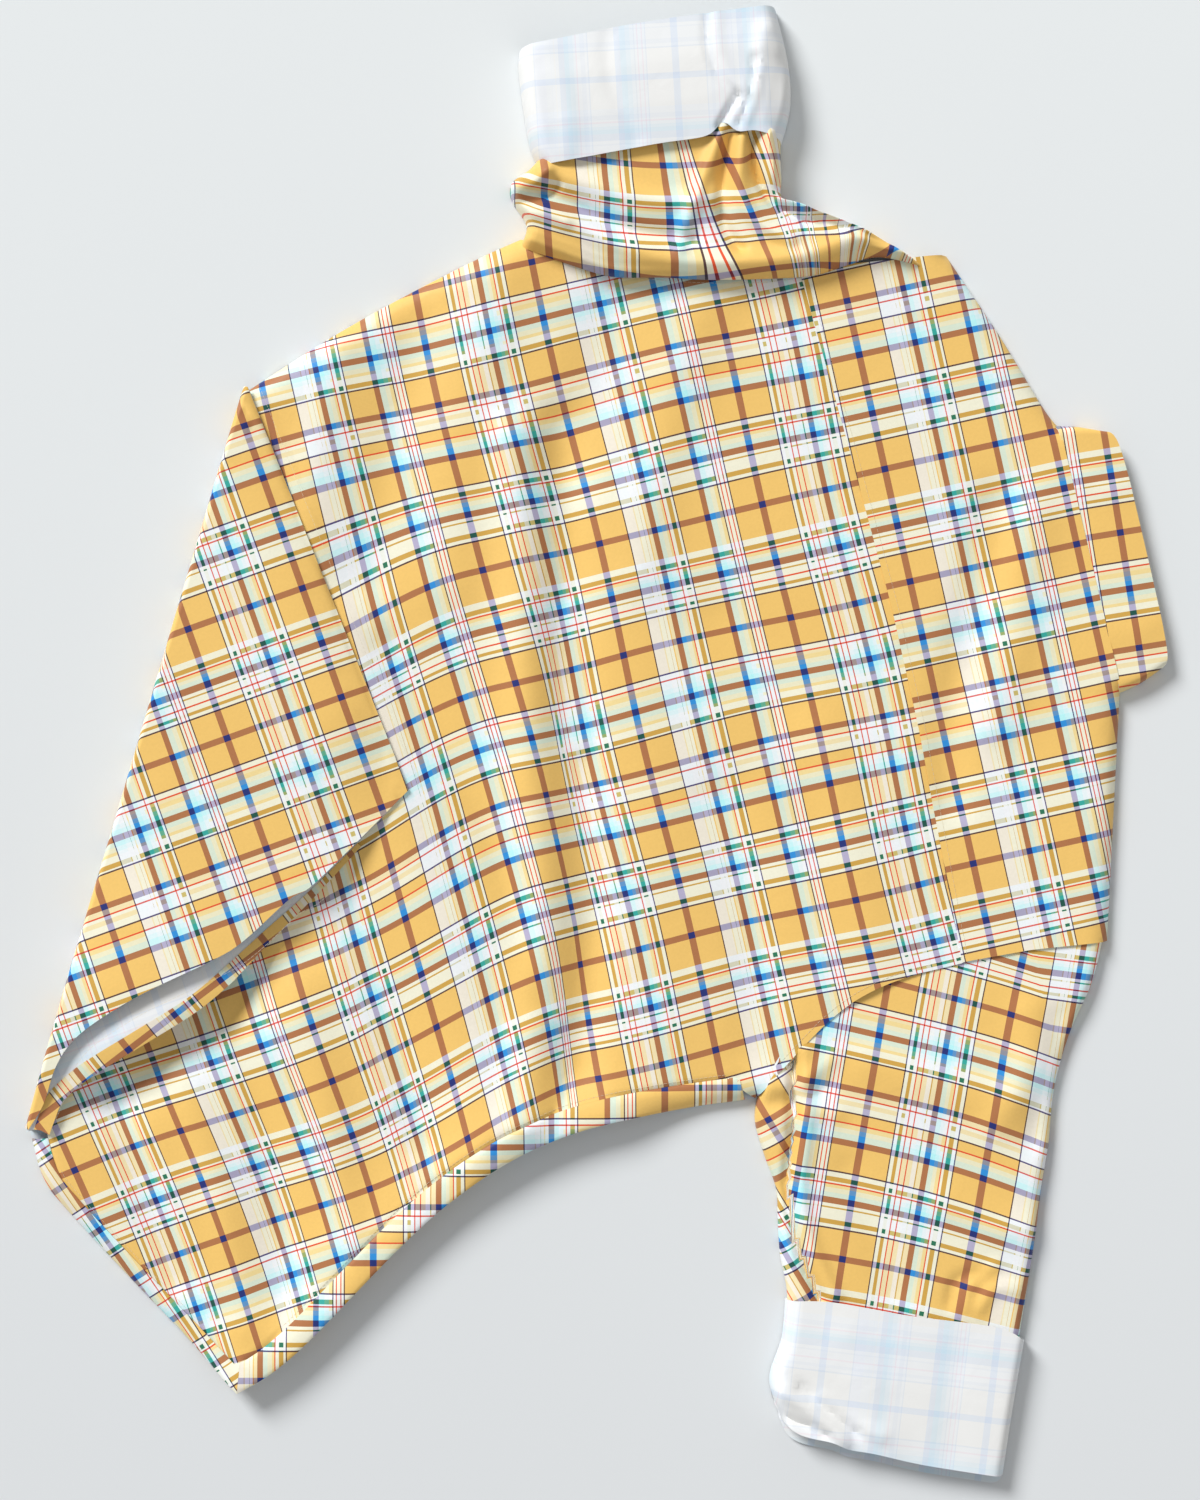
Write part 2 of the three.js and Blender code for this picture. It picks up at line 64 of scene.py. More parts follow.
scene = bpy.context.scene

# %% [markdown]
# ## The camera, the table and the light
# The camera looks straight down, as over a cutting table, and its picture is 0.96 m by 1.2 m.
# The light is two suns with a wide angle: one as from a window beyond the upper left corner,
# and a pale fill. Folds show but no shadow is hard. The colours are judged without a film curve.

# %% Camera
PICTURE_LENGTH = 1.2
CAMERA_HEIGHT = 2.4
CAMERA_SHIFT = -0.0074
camera_data = bpy.data.cameras.new("camera")
camera_data.sensor_width = 36
camera_data.lens = 36 * CAMERA_HEIGHT / PICTURE_LENGTH
camera = bpy.data.objects.new("camera", camera_data)
camera.location = (0, CAMERA_SHIFT, CAMERA_HEIGHT)
scene.collection.objects.link(camera)
scene.camera = camera
scene.view_settings.view_transform = "Standard"
print("lens", camera_data.lens, "mm")


# %% Colour and node helpers
def linear(code):
    """A #rrggbb colour as linear numbers with an alpha of 1."""
    parts = [int(code[index:index + 2], 16) / 255 for index in (1, 3, 5)]
    turned = [part / 12.92 if part <= 0.04045 else ((part + 0.055) / 1.055) ** 2.4 for part in parts]
    return (*turned, 1.0)


def add_node(tree, kind, settings=None, inputs=None):
    """Adds one node; an input is a value or the socket that it is linked to."""
    node = tree.nodes.new(kind)
    for key, value in (settings or {}).items():
        setattr(node, key, value)
    for key, value in (inputs or {}).items():
        if isinstance(value, bpy.types.NodeSocket):
            tree.links.new(value, node.inputs[key])
        else:
            node.inputs[key].default_value = value
    return node


def new_material(name):
    """A material with its shader and tree."""
    material = bpy.data.materials.new(name)
    material.use_nodes = True
    tree = material.node_tree
    return material, tree, tree.nodes["Principled BSDF"]


# %% Table and light
bpy.ops.mesh.primitive_plane_add(size=60, location=(0, 0, -0.0002))
table = bpy.context.object
table.name = "table"
table_material, tree, shader = new_material("matt laminate")
shader.inputs["Roughness"].default_value = 0.8
shader.inputs["Specular IOR Level"].default_value = 0.2
place_node = add_node(tree, "ShaderNodeTexCoord")
soft_noise = add_node(tree, "ShaderNodeTexNoise", None,
                      {"Vector": place_node.outputs["Object"], "Scale": 1.3})
place_parts = add_node(tree, "ShaderNodeSeparateXYZ", None, {"Vector": place_node.outputs["Object"]})
# The table's colour is painted lighter towards the top of the picture, where the window light comes from, and
# darker towards the bottom: a painted falloff of the light. A soft noise also varies the tone a little at
# random.
painted_falloff_share = add_node(tree, "ShaderNodeMapRange", None,
                        {"Value": place_parts.outputs["Y"], "From Min": -0.7, "From Max": 0.6})
soft_mottle = add_node(tree, "ShaderNodeMath", {"operation": "MULTIPLY_ADD"},
                {0: soft_noise.outputs["Fac"], 1: 0.3, 2: -0.15})
shade = add_node(tree, "ShaderNodeMath", {"operation": "ADD"},
                 {0: painted_falloff_share.outputs[0], 1: soft_mottle.outputs[0]})
tone = add_node(tree, "ShaderNodeValToRGB", None, {"Fac": shade.outputs[0]})
tone.color_ramp.elements[0].color = linear("#dadddf")
tone.color_ramp.elements[1].color = linear("#e6eaeb")
tree.links.new(tone.outputs["Color"], shader.inputs["Base Color"])
table.data.materials.append(table_material)

world = bpy.data.worlds.new("studio")
scene.world = world
world.use_nodes = True
world.node_tree.nodes["Background"].inputs["Color"].default_value = linear("#fcfcfc")
world.node_tree.nodes["Background"].inputs["Strength"].default_value = 0.37


def soft_sun(name, location, softness, strength):
    """Even light that comes from a place towards the middle of the table."""
    data = bpy.data.lights.new(name, "SUN")
    data.angle = math.radians(softness)
    data.energy = strength
    lamp = bpy.data.objects.new(name, data)
    lamp.location = location
    back = -lamp.location
    lamp.rotation_euler = back.to_track_quat("-Z", "Y").to_euler()
    scene.collection.objects.link(lamp)
    return lamp


soft_sun("window", (-1.7, 2.1, 1.8), 22, 3.3)
soft_sun("fill", (1.4, -1.2, 2.6), 60, 0.25)

# %% [markdown]
# ## The garment's own measure
# All cutting is done in millimetres in the garment's frame: u runs from the neck seam down to
# the hem and v from the wearer's right to the left. The whole garment is then turned on the
# table about the middle of the neck, which is where the collar's joint sits.

# %% From the garment to the table
TURN = math.radians(193.24)
collar_joint = next(j for j in frame["joints"] if j["name"] == "collar_fold")
neck_x, neck_y = collar_joint["pos_m"][0], collar_joint["pos_m"][1]


def on_table(points, heights):
    """Garment points [u, v] in mm, with heights in mm, as places in metres."""
    points = np.asarray(points, float)
    along = points[:, 0] / 1000
    across = points[:, 1] / 1000
    x = neck_x + math.cos(TURN) * along - math.sin(TURN) * across
    y = neck_y + math.sin(TURN) * along + math.cos(TURN) * across
    return np.column_stack([x, y, np.broadcast_to(heights, x.shape) / 1000])


def smooth(points, steps):
    """A smooth line through the points, with that many steps between each two."""
    line = [points[0]] + list(points) + [points[-1]]
    made = []
    for index in range(1, len(line) - 2):
        a, b, c, d = (np.array(line[index + shift], float) for shift in (-1, 0, 1, 2))
        for step in range(steps):
            t = step / steps
            made.append(0.5 * (2 * b + (c - a) * t + (2 * a - 5 * b + 4 * c - d) * t ** 2
                               + (3 * b - a - 3 * c + d) * t ** 3))
    made.append(np.array(points[-1], float))
    return np.array(made)


def evenly(line, count):
    """The line with count points at even distances."""
    line = np.asarray(line, float)
    lengths = np.hypot(*np.diff(line, axis=0).T)
    run = np.concatenate([[0], np.cumsum(lengths)])
    at = np.linspace(0, run[-1], count)
    return np.column_stack([np.interp(at, run, line[:, 0]), np.interp(at, run, line[:, 1])])


def length_of(line):
    """The line's length, in the units of its points."""
    return float(np.hypot(*np.diff(np.asarray(line, float), axis=0).T).sum())


def beside(line, distance):
    """The line moved sideways, to the right of its direction."""
    line = np.asarray(line, float)
    way = np.gradient(line, axis=0)
    way /= np.hypot(way[:, 0], way[:, 1])[:, None]
    return line + np.column_stack([way[:, 1], -way[:, 0]]) * distance


def distance_to(line, points):
    """How far each point is from the line."""
    line = np.asarray(line, float)
    points = np.asarray(points, float)
    nearest = np.full(len(points), 1e9)
    for start, end in zip(line[:-1], line[1:]):
        way = end - start
        share = np.clip(((points - start) @ way) / max(way @ way, 1e-9), 0, 1)
        gap = points - (start + share[:, None] * way)
        nearest = np.minimum(nearest, np.hypot(gap[:, 0], gap[:, 1]))
    return nearest


def roll(distance, radius):
    """From 0 at an edge up to 1, as cloth rounds over from the table to the top."""
    return np.sqrt(1 - (1 - np.clip(distance / radius, 0, 1)) ** 2)


def ease(low, high, value):
    """A soft step from 0 at low to 1 at high; it runs downwards where low is above high."""
    share = np.clip((value - low) / (high - low), 0, 1)
    return share * share * (3 - 2 * share)


print("neck at", round(neck_x, 4), round(neck_y, 4))

# %% [markdown]
# ## The outline
# These are the cut lines of the body. The neck, the shoulders and the yoke's seam are nearly
# straight; the armholes curve; the left side dips under the arm and flares to the hem corner.

# %% Cut lines of the body
NECK_HALF = 110
neck_right, neck_left = (0, -NECK_HALF), (0, NECK_HALF)
right_tip, left_tip = (55, -262), (55, 300)
right_underarm, left_underarm = (383, -353), (358, 358)
YOKE_SEAM = 172
HEM_END = (812, 490)
HEM_TURN = (926, 290)
FOLD_END = (928, 250)
FOLD_START = (621, -286)

left_armhole = smooth([left_tip, (172, 290), (265, 300), left_underarm], 8)
left_side = smooth([left_underarm, (503, 350), (617, 383), (758, 469), HEM_END], 10)
hem = smooth([HEM_END, (866, 402), (913, 320), HEM_TURN, FOLD_END], 6)
fold = np.array([FOLD_END, FOLD_START], float)
right_side = smooth([FOLD_START, (550, -311), (488, -329), (419, -346), right_underarm], 6)
right_armhole = smooth([right_underarm, (349, -328), (279, -298), (206, -279), (134, -272), right_tip], 6)
left_shoulder = np.array([neck_left, left_tip], float)
right_shoulder = smooth([right_tip, (28, -190), (8, -128), neck_right], 6)

SIDE_WRAP = 20
HEM_WRAP = 15
side_seam = evenly(beside(left_side, SIDE_WRAP), 50)
hem_seam = evenly(beside(hem, HEM_WRAP), 30)
side_seam = side_seam[distance_to(hem, side_seam) > HEM_WRAP + 1]
hem_seam = hem_seam[distance_to(left_side, hem_seam) > SIDE_WRAP + 1]
seam_corner = (side_seam[-1] + hem_seam[0]) / 2
print("left side", round(length_of(left_side)), "mm, hem", round(length_of(hem)), "mm")

# %% [markdown]
# ## How the cloth lies
# The body is two layers with air between them, about 14 mm high. Its edges round down to the
# table and soft waves run through it, because thin polyester keeps the creases of its parcel.
# One height field serves every panel of the front, so neighbours meet along their seams.

# %% Height of the front
BODY_TOP = 13.2
EDGE_ROLL = 17
BACK_TOP = 0.9
BACK_BULGE = 2.6
SIDE_STAND = 20
SEAM_GROOVE = 1.5
SNAP_TOP = 10.4
round_edges = [left_side, hem, right_side, left_shoulder, right_shoulder]

body_waves = [
    ([(425, -200), (445, -81), (471, 50), (489, 170), (540, 330)], 19, 8.5),
    ([(387, -200), (407, -81), (432, 56), (452, 190), (500, 330)], 17, -6.5),
    ([(560, -60), (524, 60), (510, 138), (506, 240)], 13, -3.5),
    ([(600, -80), (582, 90), (566, 250), (580, 350)], 26, 4.6),
    ([(355, -120), (370, 20), (390, 140), (418, 290)], 24, 1.6),
    ([(640, 120), (625, 220), (620, 330)], 18, -4.6),
    ([(700, 150), (690, 260), (700, 390)], 18, 4.2),
    ([(757, 180), (745, 300), (757, 430)], 17, -4.6),
    ([(800, 230), (790, 320), (795, 440)], 14, 3.4),
    ([(855, 235), (850, 310), (840, 390)], 14, -3.6),
    ([(690, 150), (770, 192), (850, 226)], 28, -9.5),
    ([(320, -290), (350, -230), (380, -170)], 24, -4.0),
    ([(400, -330), (460, -220), (500, -100)], 24, 3.4),
    ([(470, -320), (520, -220), (560, -120)], 22, -4.0),
    ([(545, -300), (580, -220), (610, -140)], 18, 3.2),
    ([(250, -275), (300, -190), (350, -70)], 22, 3.2),
    ([(350, 320), (330, 230), (330, 120)], 22, -3.6),
    ([(250, 290), (240, 200), (250, 90)], 26, 2.8),
    ([(300, -20), (270, 60), (262, 150)], 22, -2.6),
    ([(35, -50), (65, 30), (105, 110)], 18, 3.4),
    ([(64, -60), (98, 15), (137, 95), (150, 160)], 16, -4.4),
]


def waves(points, folds):
    """The sum of soft folds; each is a path, its half width and its height in mm."""
    total = np.zeros(len(points))
    for path, width, height in folds:
        gap = distance_to(smooth(path, 5) if len(path) > 2 else path, points)
        total += height * np.exp(-(gap / width) ** 2)
    return total


def edge_distance(points, edges):
    """How far each point is from the nearest of the edges."""
    return np.min([distance_to(edge, points) for edge in edges], axis=0)


def side_lift(points):
    """Between the underarm and the hem corner, the left side stands a little off the table."""
    reach = np.exp(-(distance_to(left_side, points) / 42) ** 2)
    return SIDE_STAND * ease(390, 480, np.asarray(points, float)[:, 0]) * reach


def over_lap(points):
    """1 over the closed back opening, where the front can't sink onto the snaps."""
    return ease(78, 54, np.abs(points[:, 1])) * ease(670, 640, points[:, 0])


def front_height(points):
    """Top of the front layer, in mm above the table."""
    points = np.asarray(points, float)
    rounded = roll(edge_distance(points, round_edges), EDGE_ROLL)
    ripples = 0.6 * np.sin(points[:, 0] / 37 + points[:, 1] / 61) * np.sin(points[:, 1] / 43 - 0.7)
    lift = side_lift(points)
    height = BACK_TOP + lift + (BODY_TOP + ripples + waves(points, body_waves) - 0.6 * lift) * rounded
    seam_gap = np.minimum(distance_to(side_seam, points), distance_to(hem_seam, points))
    height -= SEAM_GROOVE * np.exp(-(seam_gap / 1.6) ** 2)
    height = np.maximum(height, BACK_TOP + lift + BACK_BULGE * rounded)
    return np.maximum(height, SNAP_TOP * over_lap(points))


print("height in the middle", round(float(front_height([(450, 0)])[0]), 2), "mm")

# %% [markdown]
# ## Where the print falls
# The tartan is printed on the cloth before it is cut, so each panel carries its own piece of
# it. A panel's UV map is its place on the roll in metres. Near the left hem the body is pulled
# round and its grain turns with it.

# %% The grain of each panel
CLOTH = 0.5


def on_the_roll(turn=0.0, pivot=(0, 0), slip=(0, 0)):
    """How a panel was cut: its grain turned by degrees about a point, and slipped in mm."""
    cosine, sine = math.cos(math.radians(turn)), math.sin(math.radians(turn))

    def lay(points):
        """Each point's place on the roll."""
        off = np.asarray(points, float) - pivot
        along = cosine * off[:, 0] + sine * off[:, 1] + pivot[0] + slip[0]
        across = -sine * off[:, 0] + cosine * off[:, 1] + pivot[1] + slip[1]
        return np.column_stack([along, across])
    return lay


def body_grain(points):
    """The body's grain, turned gently towards the left hem corner."""
    points = np.asarray(points, float)
    reach = np.clip(points[:, 0] - 480, 0, None) / 400
    side = ease(-150, 330, points[:, 1])
    steep = 40 * ease(480, 670, points[:, 0]) + 0.11 * np.clip(points[:, 0] - 640, 0, None)
    pull = steep * ease(-220, -40, points[:, 1])
    lean = 0.17 * side * np.clip(reach, 0, 1) * (points[:, 1] - 130)
    valley = np.interp(points[:, 1], [-200, -81, 56, 190, 330], [400, 420, 448, 466, 508])
    taken = 7 * ease(-120, 90, points[:, 1]) * (1 + np.tanh((points[:, 0] - valley) / 13))
    sway = 2.0 * np.sin(points[:, 0] / 41 + points[:, 1] / 90) * np.sin(points[:, 1] / 77 + 1.1)
    drift = 2.0 * np.sin(points[:, 1] / 48 + 0.4) * np.sin(points[:, 0] / 95)
    return np.column_stack([points[:, 0] + lean + taken + drift, points[:, 1] - pull + sway])


# %% Cloth by outline
def within(outline, points):
    """Which points are inside the closed outline."""
    inside = np.zeros(len(points), bool)
    for start, end in zip(outline, np.roll(outline, -1, axis=0)):
        crosses = (start[1] > points[:, 1]) != (end[1] > points[:, 1])
        rise = end[1] - start[1]
        if abs(rise) < 1e-9:
            continue
        meets = start[0] + (points[:, 1] - start[1]) * (end[0] - start[0]) / rise
        inside ^= crosses & (points[:, 0] < meets)
    return inside


def closed_line(runs, spacing):
    """Runs of points joined into one closed outline with even, close points."""
    parts = [evenly(run, max(2, round(length_of(run) / spacing) + 1))[:-1] for run in runs]
    return np.concatenate(parts)


def lattice(outline, spacing, borders):
    """Even points inside the outline, with closer rows beside its border."""
    low, high = outline.min(axis=0), outline.max(axis=0)
    rows = []
    for index, v in enumerate(np.arange(low[1], high[1], spacing * 0.866)):
        along = np.arange(low[0] + (index % 2) * spacing / 2, high[0], spacing)
        rows.append(np.column_stack([along, np.full(len(along), v)]))
    grid = np.concatenate(rows)
    grid = grid[within(outline, grid)]
    loop = np.vstack([outline, outline[:1]])
    grid = grid[distance_to(loop, grid) > (borders[-1] if borders else 0) + spacing * 0.55]
    found = [grid]
    for border in borders:
        for side in (1, -1):
            row = beside(loop, side * border)[:-1]
            row = row[within(outline, row)]
            found.append(row[distance_to(loop, row) > border * 0.96])
    return np.concatenate(found)


def build(name, places, faces, layer_uv):
    """A mesh object from places in metres, faces, and one UV pair for each face corner."""
    mesh = bpy.data.meshes.new(name)
    mesh.from_pydata(places.tolist(), [], faces)
    mesh.uv_layers.new(name="roll")
    mesh.uv_layers["roll"].data.foreach_set("uv", np.asarray(layer_uv, np.float32).ravel())
    mesh.validate()
    piece = bpy.data.objects.new(name, mesh)
    scene.collection.objects.link(piece)
    return piece


def finish_cloth(piece, outside, inside, thickness=CLOTH, angle=50):
    """Gives the sheet its thickness, its two sides' finishes and soft shading."""
    piece.data.materials.append(outside)
    piece.data.materials.append(inside)
    body = piece.modifiers.new("thickness", "SOLIDIFY")
    body.thickness = thickness / 1000
    body.offset = -1
    body.material_offset = 1
    bpy.ops.object.select_all(action="DESELECT")
    bpy.context.view_layer.objects.active = piece
    piece.select_set(True)
    bpy.ops.object.modifier_apply(modifier="thickness")
    bpy.ops.object.shade_smooth_by_angle(angle=math.radians(angle))
    piece.select_set(False)
    print(piece.name, len(piece.data.polygons), "faces")
    return piece


def panel(name, runs, height, lay, spacing=7, borders=(1.2, 3, 6, 10), face_down=False):
    """A flat cut inside the runs of its outline, laid at the given height."""
    outline = closed_line(runs, 5)
    inner = lattice(outline, spacing, borders)
    flat = [tuple(point) for point in np.concatenate([outline, inner])]
    loop = [list(range(len(outline)))]
    points, _, faces, _, _, _ = delaunay_2d_cdt(flat, [], loop, 1, 1e-4, True)
    points = np.array([tuple(point) for point in points])
    middles = np.array([points[list(face)].mean(axis=0) for face in faces])
    faces = [face for face, inside in zip(faces, within(outline, middles)) if inside]
    heights = height(points)
    if face_down:
        faces = [list(reversed(face)) for face in faces]
    cut = lay(points) / 1000
    corners = [cut[index] for face in faces for index in face]
    piece = build(name, on_table(points, heights), faces, corners)
    piece["cut_area"] = shoelace(outline) / 1e6
    piece["cut_size"] = [float(side) / 1000 for side in np.ptp(outline, axis=0)]
    return piece


def shoelace(outline):
    """The area inside the outline, in square mm."""
    after = np.roll(outline, -1, axis=0)
    return abs(float(np.sum(outline[:, 0] * after[:, 1] - after[:, 0] * outline[:, 1]))) / 2

# %% [markdown]
# ## Printed polyester
# The cloth is polyester twill, woven white and printed on one side with a yellow tartan. A
# tartan is a list of stripes along each direction, so the print is two such lists, written as
# (width in mm, stripe), and a rule for what two stripes make where they cross. A brown band
# that crosses a brown one makes navy, and one that crosses a sage stripe makes bright blue.
# Where no band lies, the stripes simply multiply. Ramps with hard steps draw the stripes.

# %% Stripes of the tartan
# Each stripe: its colour on yellow, where it crosses brown, where it crosses ochre, and what
# shows of it through the white reverse.
STRIPES = {
    "yellow": ("#ffc56e", "#b0744a", "#d0a44c", "#f5f5f4"),
    "brown": ("#b0744a", "#232f74", "#1c5348", "#e9eef5"),
    "cream": ("#fdeed6", "#b6b0cc", "#eef0e6", "#f3f5f7"),
    "ochre": ("#d0a44c", "#1c5348", "#2c7557", "#eff2f6"),
    "dark": ("#5a3f3c", "#2a2440", "#1d3f3a", "#ebeff4"),
    "red": ("#e4562f", "#7a1f3a", "#b9482e", "#f3edf1"),
    "lavender": ("#f1e9d8", "#a9a4be", "#d8d6bd", "#f2f4f8"),
    "pale": ("#fbe0b0", "#a3928e", "#cdbb70", "#f3f5f7"),
    "sage": ("#d9e6d2", "#2f8fd8", "#35a79c", "#e4f0f7"),
    "sage fading": ("#ebe6c4", "#5f93c4", "#62ab8c", "#eaf2f7"),
    "sage faint": ("#f8d998", "#8f8f9a", "#97a868", "#f0f4f7"),
}


def fading(width):
    """A sage stripe that fades away from the band before it."""
    return [(width * 0.4, "sage"), (width * 0.35, "sage fading"), (width * 0.25, "sage faint")]


def growing(width):
    """A sage stripe that grows stronger towards the band after it."""
    return list(reversed(fading(width)))


BAND, LINE = 4.8, 0.9
band, dark, red = (BAND, "brown"), (LINE, "dark"), (LINE, "red")
block_a = [band, (21.5, "yellow"), dark, (7.9, "lavender"), (LINE, "pale"), (3.4, "cream"),
           (LINE, "ochre"), (2.2, "cream"), (LINE, "yellow"), (2.6, "pale")]
block_b = [band, *fading(11), dark, (2, "cream"), red, (2, "cream"), red, (2.6, "cream"), dark,
           (20, "yellow")]
block_c = [band, (21, "yellow"), dark, (2.4, "cream"), (3.2, "ochre"), (2.9, "cream"), red,
           (3.4, "pale"), red, (3.7, "pale"), (3.6, "lavender"), (LINE, "ochre"), (3.1, "pale")]
block_d = [band, *fading(9), red, (2, "cream"), (4, "ochre"), (2.2, "cream"), dark,
           (20.2, "yellow")]
COLUMNS = [*block_c, *block_d, *block_a, *block_d, *block_b]

block_p = [band, (21, "yellow"), dark, (4.4, "cream"), (4, "ochre"), (1.2, "cream"), red,
           *growing(9.5)]
block_q = [band, (3, "cream"), (LINE, "ochre"), (4.9, "cream"), red, (3.5, "cream"),
           (3.7, "ochre"), (2.4, "cream"), dark, (20.6, "yellow")]
block_r = [band, (20, "yellow"), dark, (4.2, "cream"), red, (3, "pale"), *growing(10.9)]
block_s = [band, *fading(9.7), red, (4, "cream"), (4, "ochre"), (1.5, "cream"), dark,
           (22.4, "yellow")]
block_t = [band, (3.2, "pale"), red, (3, "cream"), (3.3, "pale"), red, (4.4, "cream"), dark,
           (8.4, "yellow"), red, *growing(13.3)]
ROWS = [*block_p, *block_q, *block_p, *block_q, *block_r, *block_s, *block_t]
COLUMN_START = 0.2459
ROW_START = -0.1968
column_repeat = sum(width for width, _ in COLUMNS)
row_repeat = sum(width for width, _ in ROWS)
print("repeats:", round(column_repeat, 1), "mm by", round(row_repeat, 1), "mm")


# %% Stripes from ramps
def stripe_colours(tree, position, threads, shade, flag=None):
    """The stripes' colours along a position from 0 to 1; alpha is 1 on the flagged stripe."""
    repeat = sum(width for width, _ in threads)
    stops, at = [], 0.0
    for width, stripe in threads:
        stops.append((at / repeat, stripe))
        at += width
    result = None
    for first in range(0, len(stops), 30):
        node = add_node(tree, "ShaderNodeValToRGB", None, {"Fac": position})
        ramp = node.color_ramp
        ramp.interpolation = "CONSTANT"
        ramp.elements.remove(ramp.elements[1])
        for index, (place, stripe) in enumerate(stops[first:first + 30]):
            element = ramp.elements[0] if index == 0 else ramp.elements.new(place)
            element.position = place
            colour = linear(STRIPES[stripe][shade])
            element.color = (*colour[:3], 1.0 if stripe == flag else 0.0)
        outputs = [node.outputs["Color"], node.outputs["Alpha"]]
        if result:
            later = add_node(tree, "ShaderNodeMath", {"operation": "GREATER_THAN"},
                             {0: position, 1: stops[first][0]})
            result = [blend_colour(tree, later.outputs[0], old, new) for old, new in zip(result, outputs)]
        else:
            result = outputs
    return result


def blend_colour(tree, share, first, second):
    """The first colour where the share is 0 and the second where it is 1."""
    node = add_node(tree, "ShaderNodeMix", {"data_type": "RGBA"}, {"Factor": share})
    for socket, value in ((6, first), (7, second)):
        if isinstance(value, bpy.types.NodeSocket):
            tree.links.new(value, node.inputs[socket])
        else:
            node.inputs[socket].default_value = value
    return node.outputs[2]


def roll_positions(tree):
    """Where a point is in the repeat of the columns and of the rows."""
    cut = add_node(tree, "ShaderNodeUVMap", {"uv_map": "roll"})
    parts = add_node(tree, "ShaderNodeSeparateXYZ", None, {"Vector": cut.outputs["UV"]})
    found = []
    ways = [("X", COLUMN_START, -1, column_repeat), ("Y", ROW_START, 1, row_repeat)]
    for output, start, sign, repeat in ways:
        scale = sign * 1000 / repeat
        shifted = add_node(tree, "ShaderNodeMath", {"operation": "MULTIPLY_ADD"},
                           {0: parts.outputs[output], 1: scale, 2: -start * scale})
        within_repeat = add_node(tree, "ShaderNodeMath", {"operation": "FRACT"}, {0: shifted.outputs[0]})
        found.append(within_repeat.outputs[0])
    return cut.outputs["UV"], found


def cloth_relief(tree, shader, cut, weave_depth, crease_depth):
    """Fine twill threads and the small creases that folding leaves, as bump."""
    # Real twill has about 3 threads to the mm; 1 mm is the finest that shows.
    weave = add_node(tree, "ShaderNodeTexWave", {"bands_direction": "DIAGONAL"},
                     {"Vector": cut, "Scale": 180.0, "Distortion": 1.5, "Detail": 1.0})
    crease = add_node(tree, "ShaderNodeTexNoise", None,
                      {"Vector": cut, "Scale": 26.0, "Detail": 3.0, "Roughness": 0.5, "Distortion": 0.6})
    fine = add_node(tree, "ShaderNodeBump", None,
                    {"Strength": 0.25, "Distance": weave_depth, "Height": weave.outputs["Fac"]})
    wide = add_node(tree, "ShaderNodeBump", None,
                    {"Strength": 0.6, "Distance": crease_depth, "Height": crease.outputs["Fac"],
                     "Normal": fine.outputs["Normal"]})
    tree.links.new(wide.outputs["Normal"], shader.inputs["Normal"])


# %% Printed side
printed, tree, shader = new_material("printed polyester twill")
shader.inputs["Roughness"].default_value = 0.52
shader.inputs["Specular IOR Level"].default_value = 0.28
shader.inputs["Sheen Weight"].default_value = 0.08
shader.inputs["Sheen Roughness"].default_value = 0.5
cut, (column, row) = roll_positions(tree)
column_colour, column_brown = stripe_colours(tree, column, COLUMNS, 0, "brown")
row_colour, row_brown = stripe_colours(tree, row, ROWS, 0, "brown")
column_dyed, column_ochre = stripe_colours(tree, column, COLUMNS, 1, "ochre")
row_dyed, row_ochre = stripe_colours(tree, row, ROWS, 1, "ochre")
column_tinted, _ = stripe_colours(tree, column, COLUMNS, 2)
row_tinted, _ = stripe_colours(tree, row, ROWS, 2)

ground = linear(STRIPES["yellow"][0])
both = add_node(tree, "ShaderNodeVectorMath", {"operation": "MULTIPLY"}, {0: column_colour, 1: row_colour})
lifted = add_node(tree, "ShaderNodeVectorMath", {"operation": "MULTIPLY"},
                  {0: both.outputs[0], 1: tuple(1 / part for part in ground[:3])})
white_limit = add_node(tree, "ShaderNodeVectorMath", {"operation": "MINIMUM"},
                       {0: lifted.outputs[0], 1: (0.88, 0.9, 0.92)})
colour = blend_colour(tree, column_ochre, white_limit.outputs[0], row_tinted)
colour = blend_colour(tree, row_ochre, colour, column_tinted)
colour = blend_colour(tree, column_brown, colour, row_dyed)
colour = blend_colour(tree, row_brown, colour, column_dyed)
# The dye takes a little unevenly from thread to thread.
threads = add_node(tree, "ShaderNodeTexNoise", None, {"Vector": cut, "Scale": 420.0, "Detail": 2.0})
uneven = add_node(tree, "ShaderNodeMapRange", None,
                  {"Value": threads.outputs["Fac"], "To Min": 0.95, "To Max": 1.05})
dyed = add_node(tree, "ShaderNodeVectorMath", {"operation": "SCALE"}, {0: colour, "Scale": uneven.outputs[0]})
tree.links.new(dyed.outputs[0], shader.inputs["Base Color"])
cloth_relief(tree, shader, cut, 0.00004, 0.0009)
print(printed.name, len(tree.nodes), "nodes")

# %% [markdown]
# ## The white reverse
# The dye doesn't go through the cloth, so the inside is white with a faint blue ghost of the
# tartan. It reads the same stripes with their ghost colours, multiplied together.

# %% Reverse side
reverse, tree, shader = new_material("white reverse of the twill")
shader.inputs["Roughness"].default_value = 0.68
shader.inputs["Specular IOR Level"].default_value = 0.25
cut, (column, row) = roll_positions(tree)
column_ghost, _ = stripe_colours(tree, column, COLUMNS, 3)
row_ghost, _ = stripe_colours(tree, row, ROWS, 3)
ghosts = add_node(tree, "ShaderNodeVectorMath", {"operation": "MULTIPLY"}, {0: column_ghost, 1: row_ghost})
tree.links.new(ghosts.outputs[0], shader.inputs["Base Color"])
cloth_relief(tree, shader, cut, 0.00004, 0.0014)
print(reverse.name, len(tree.nodes), "nodes")


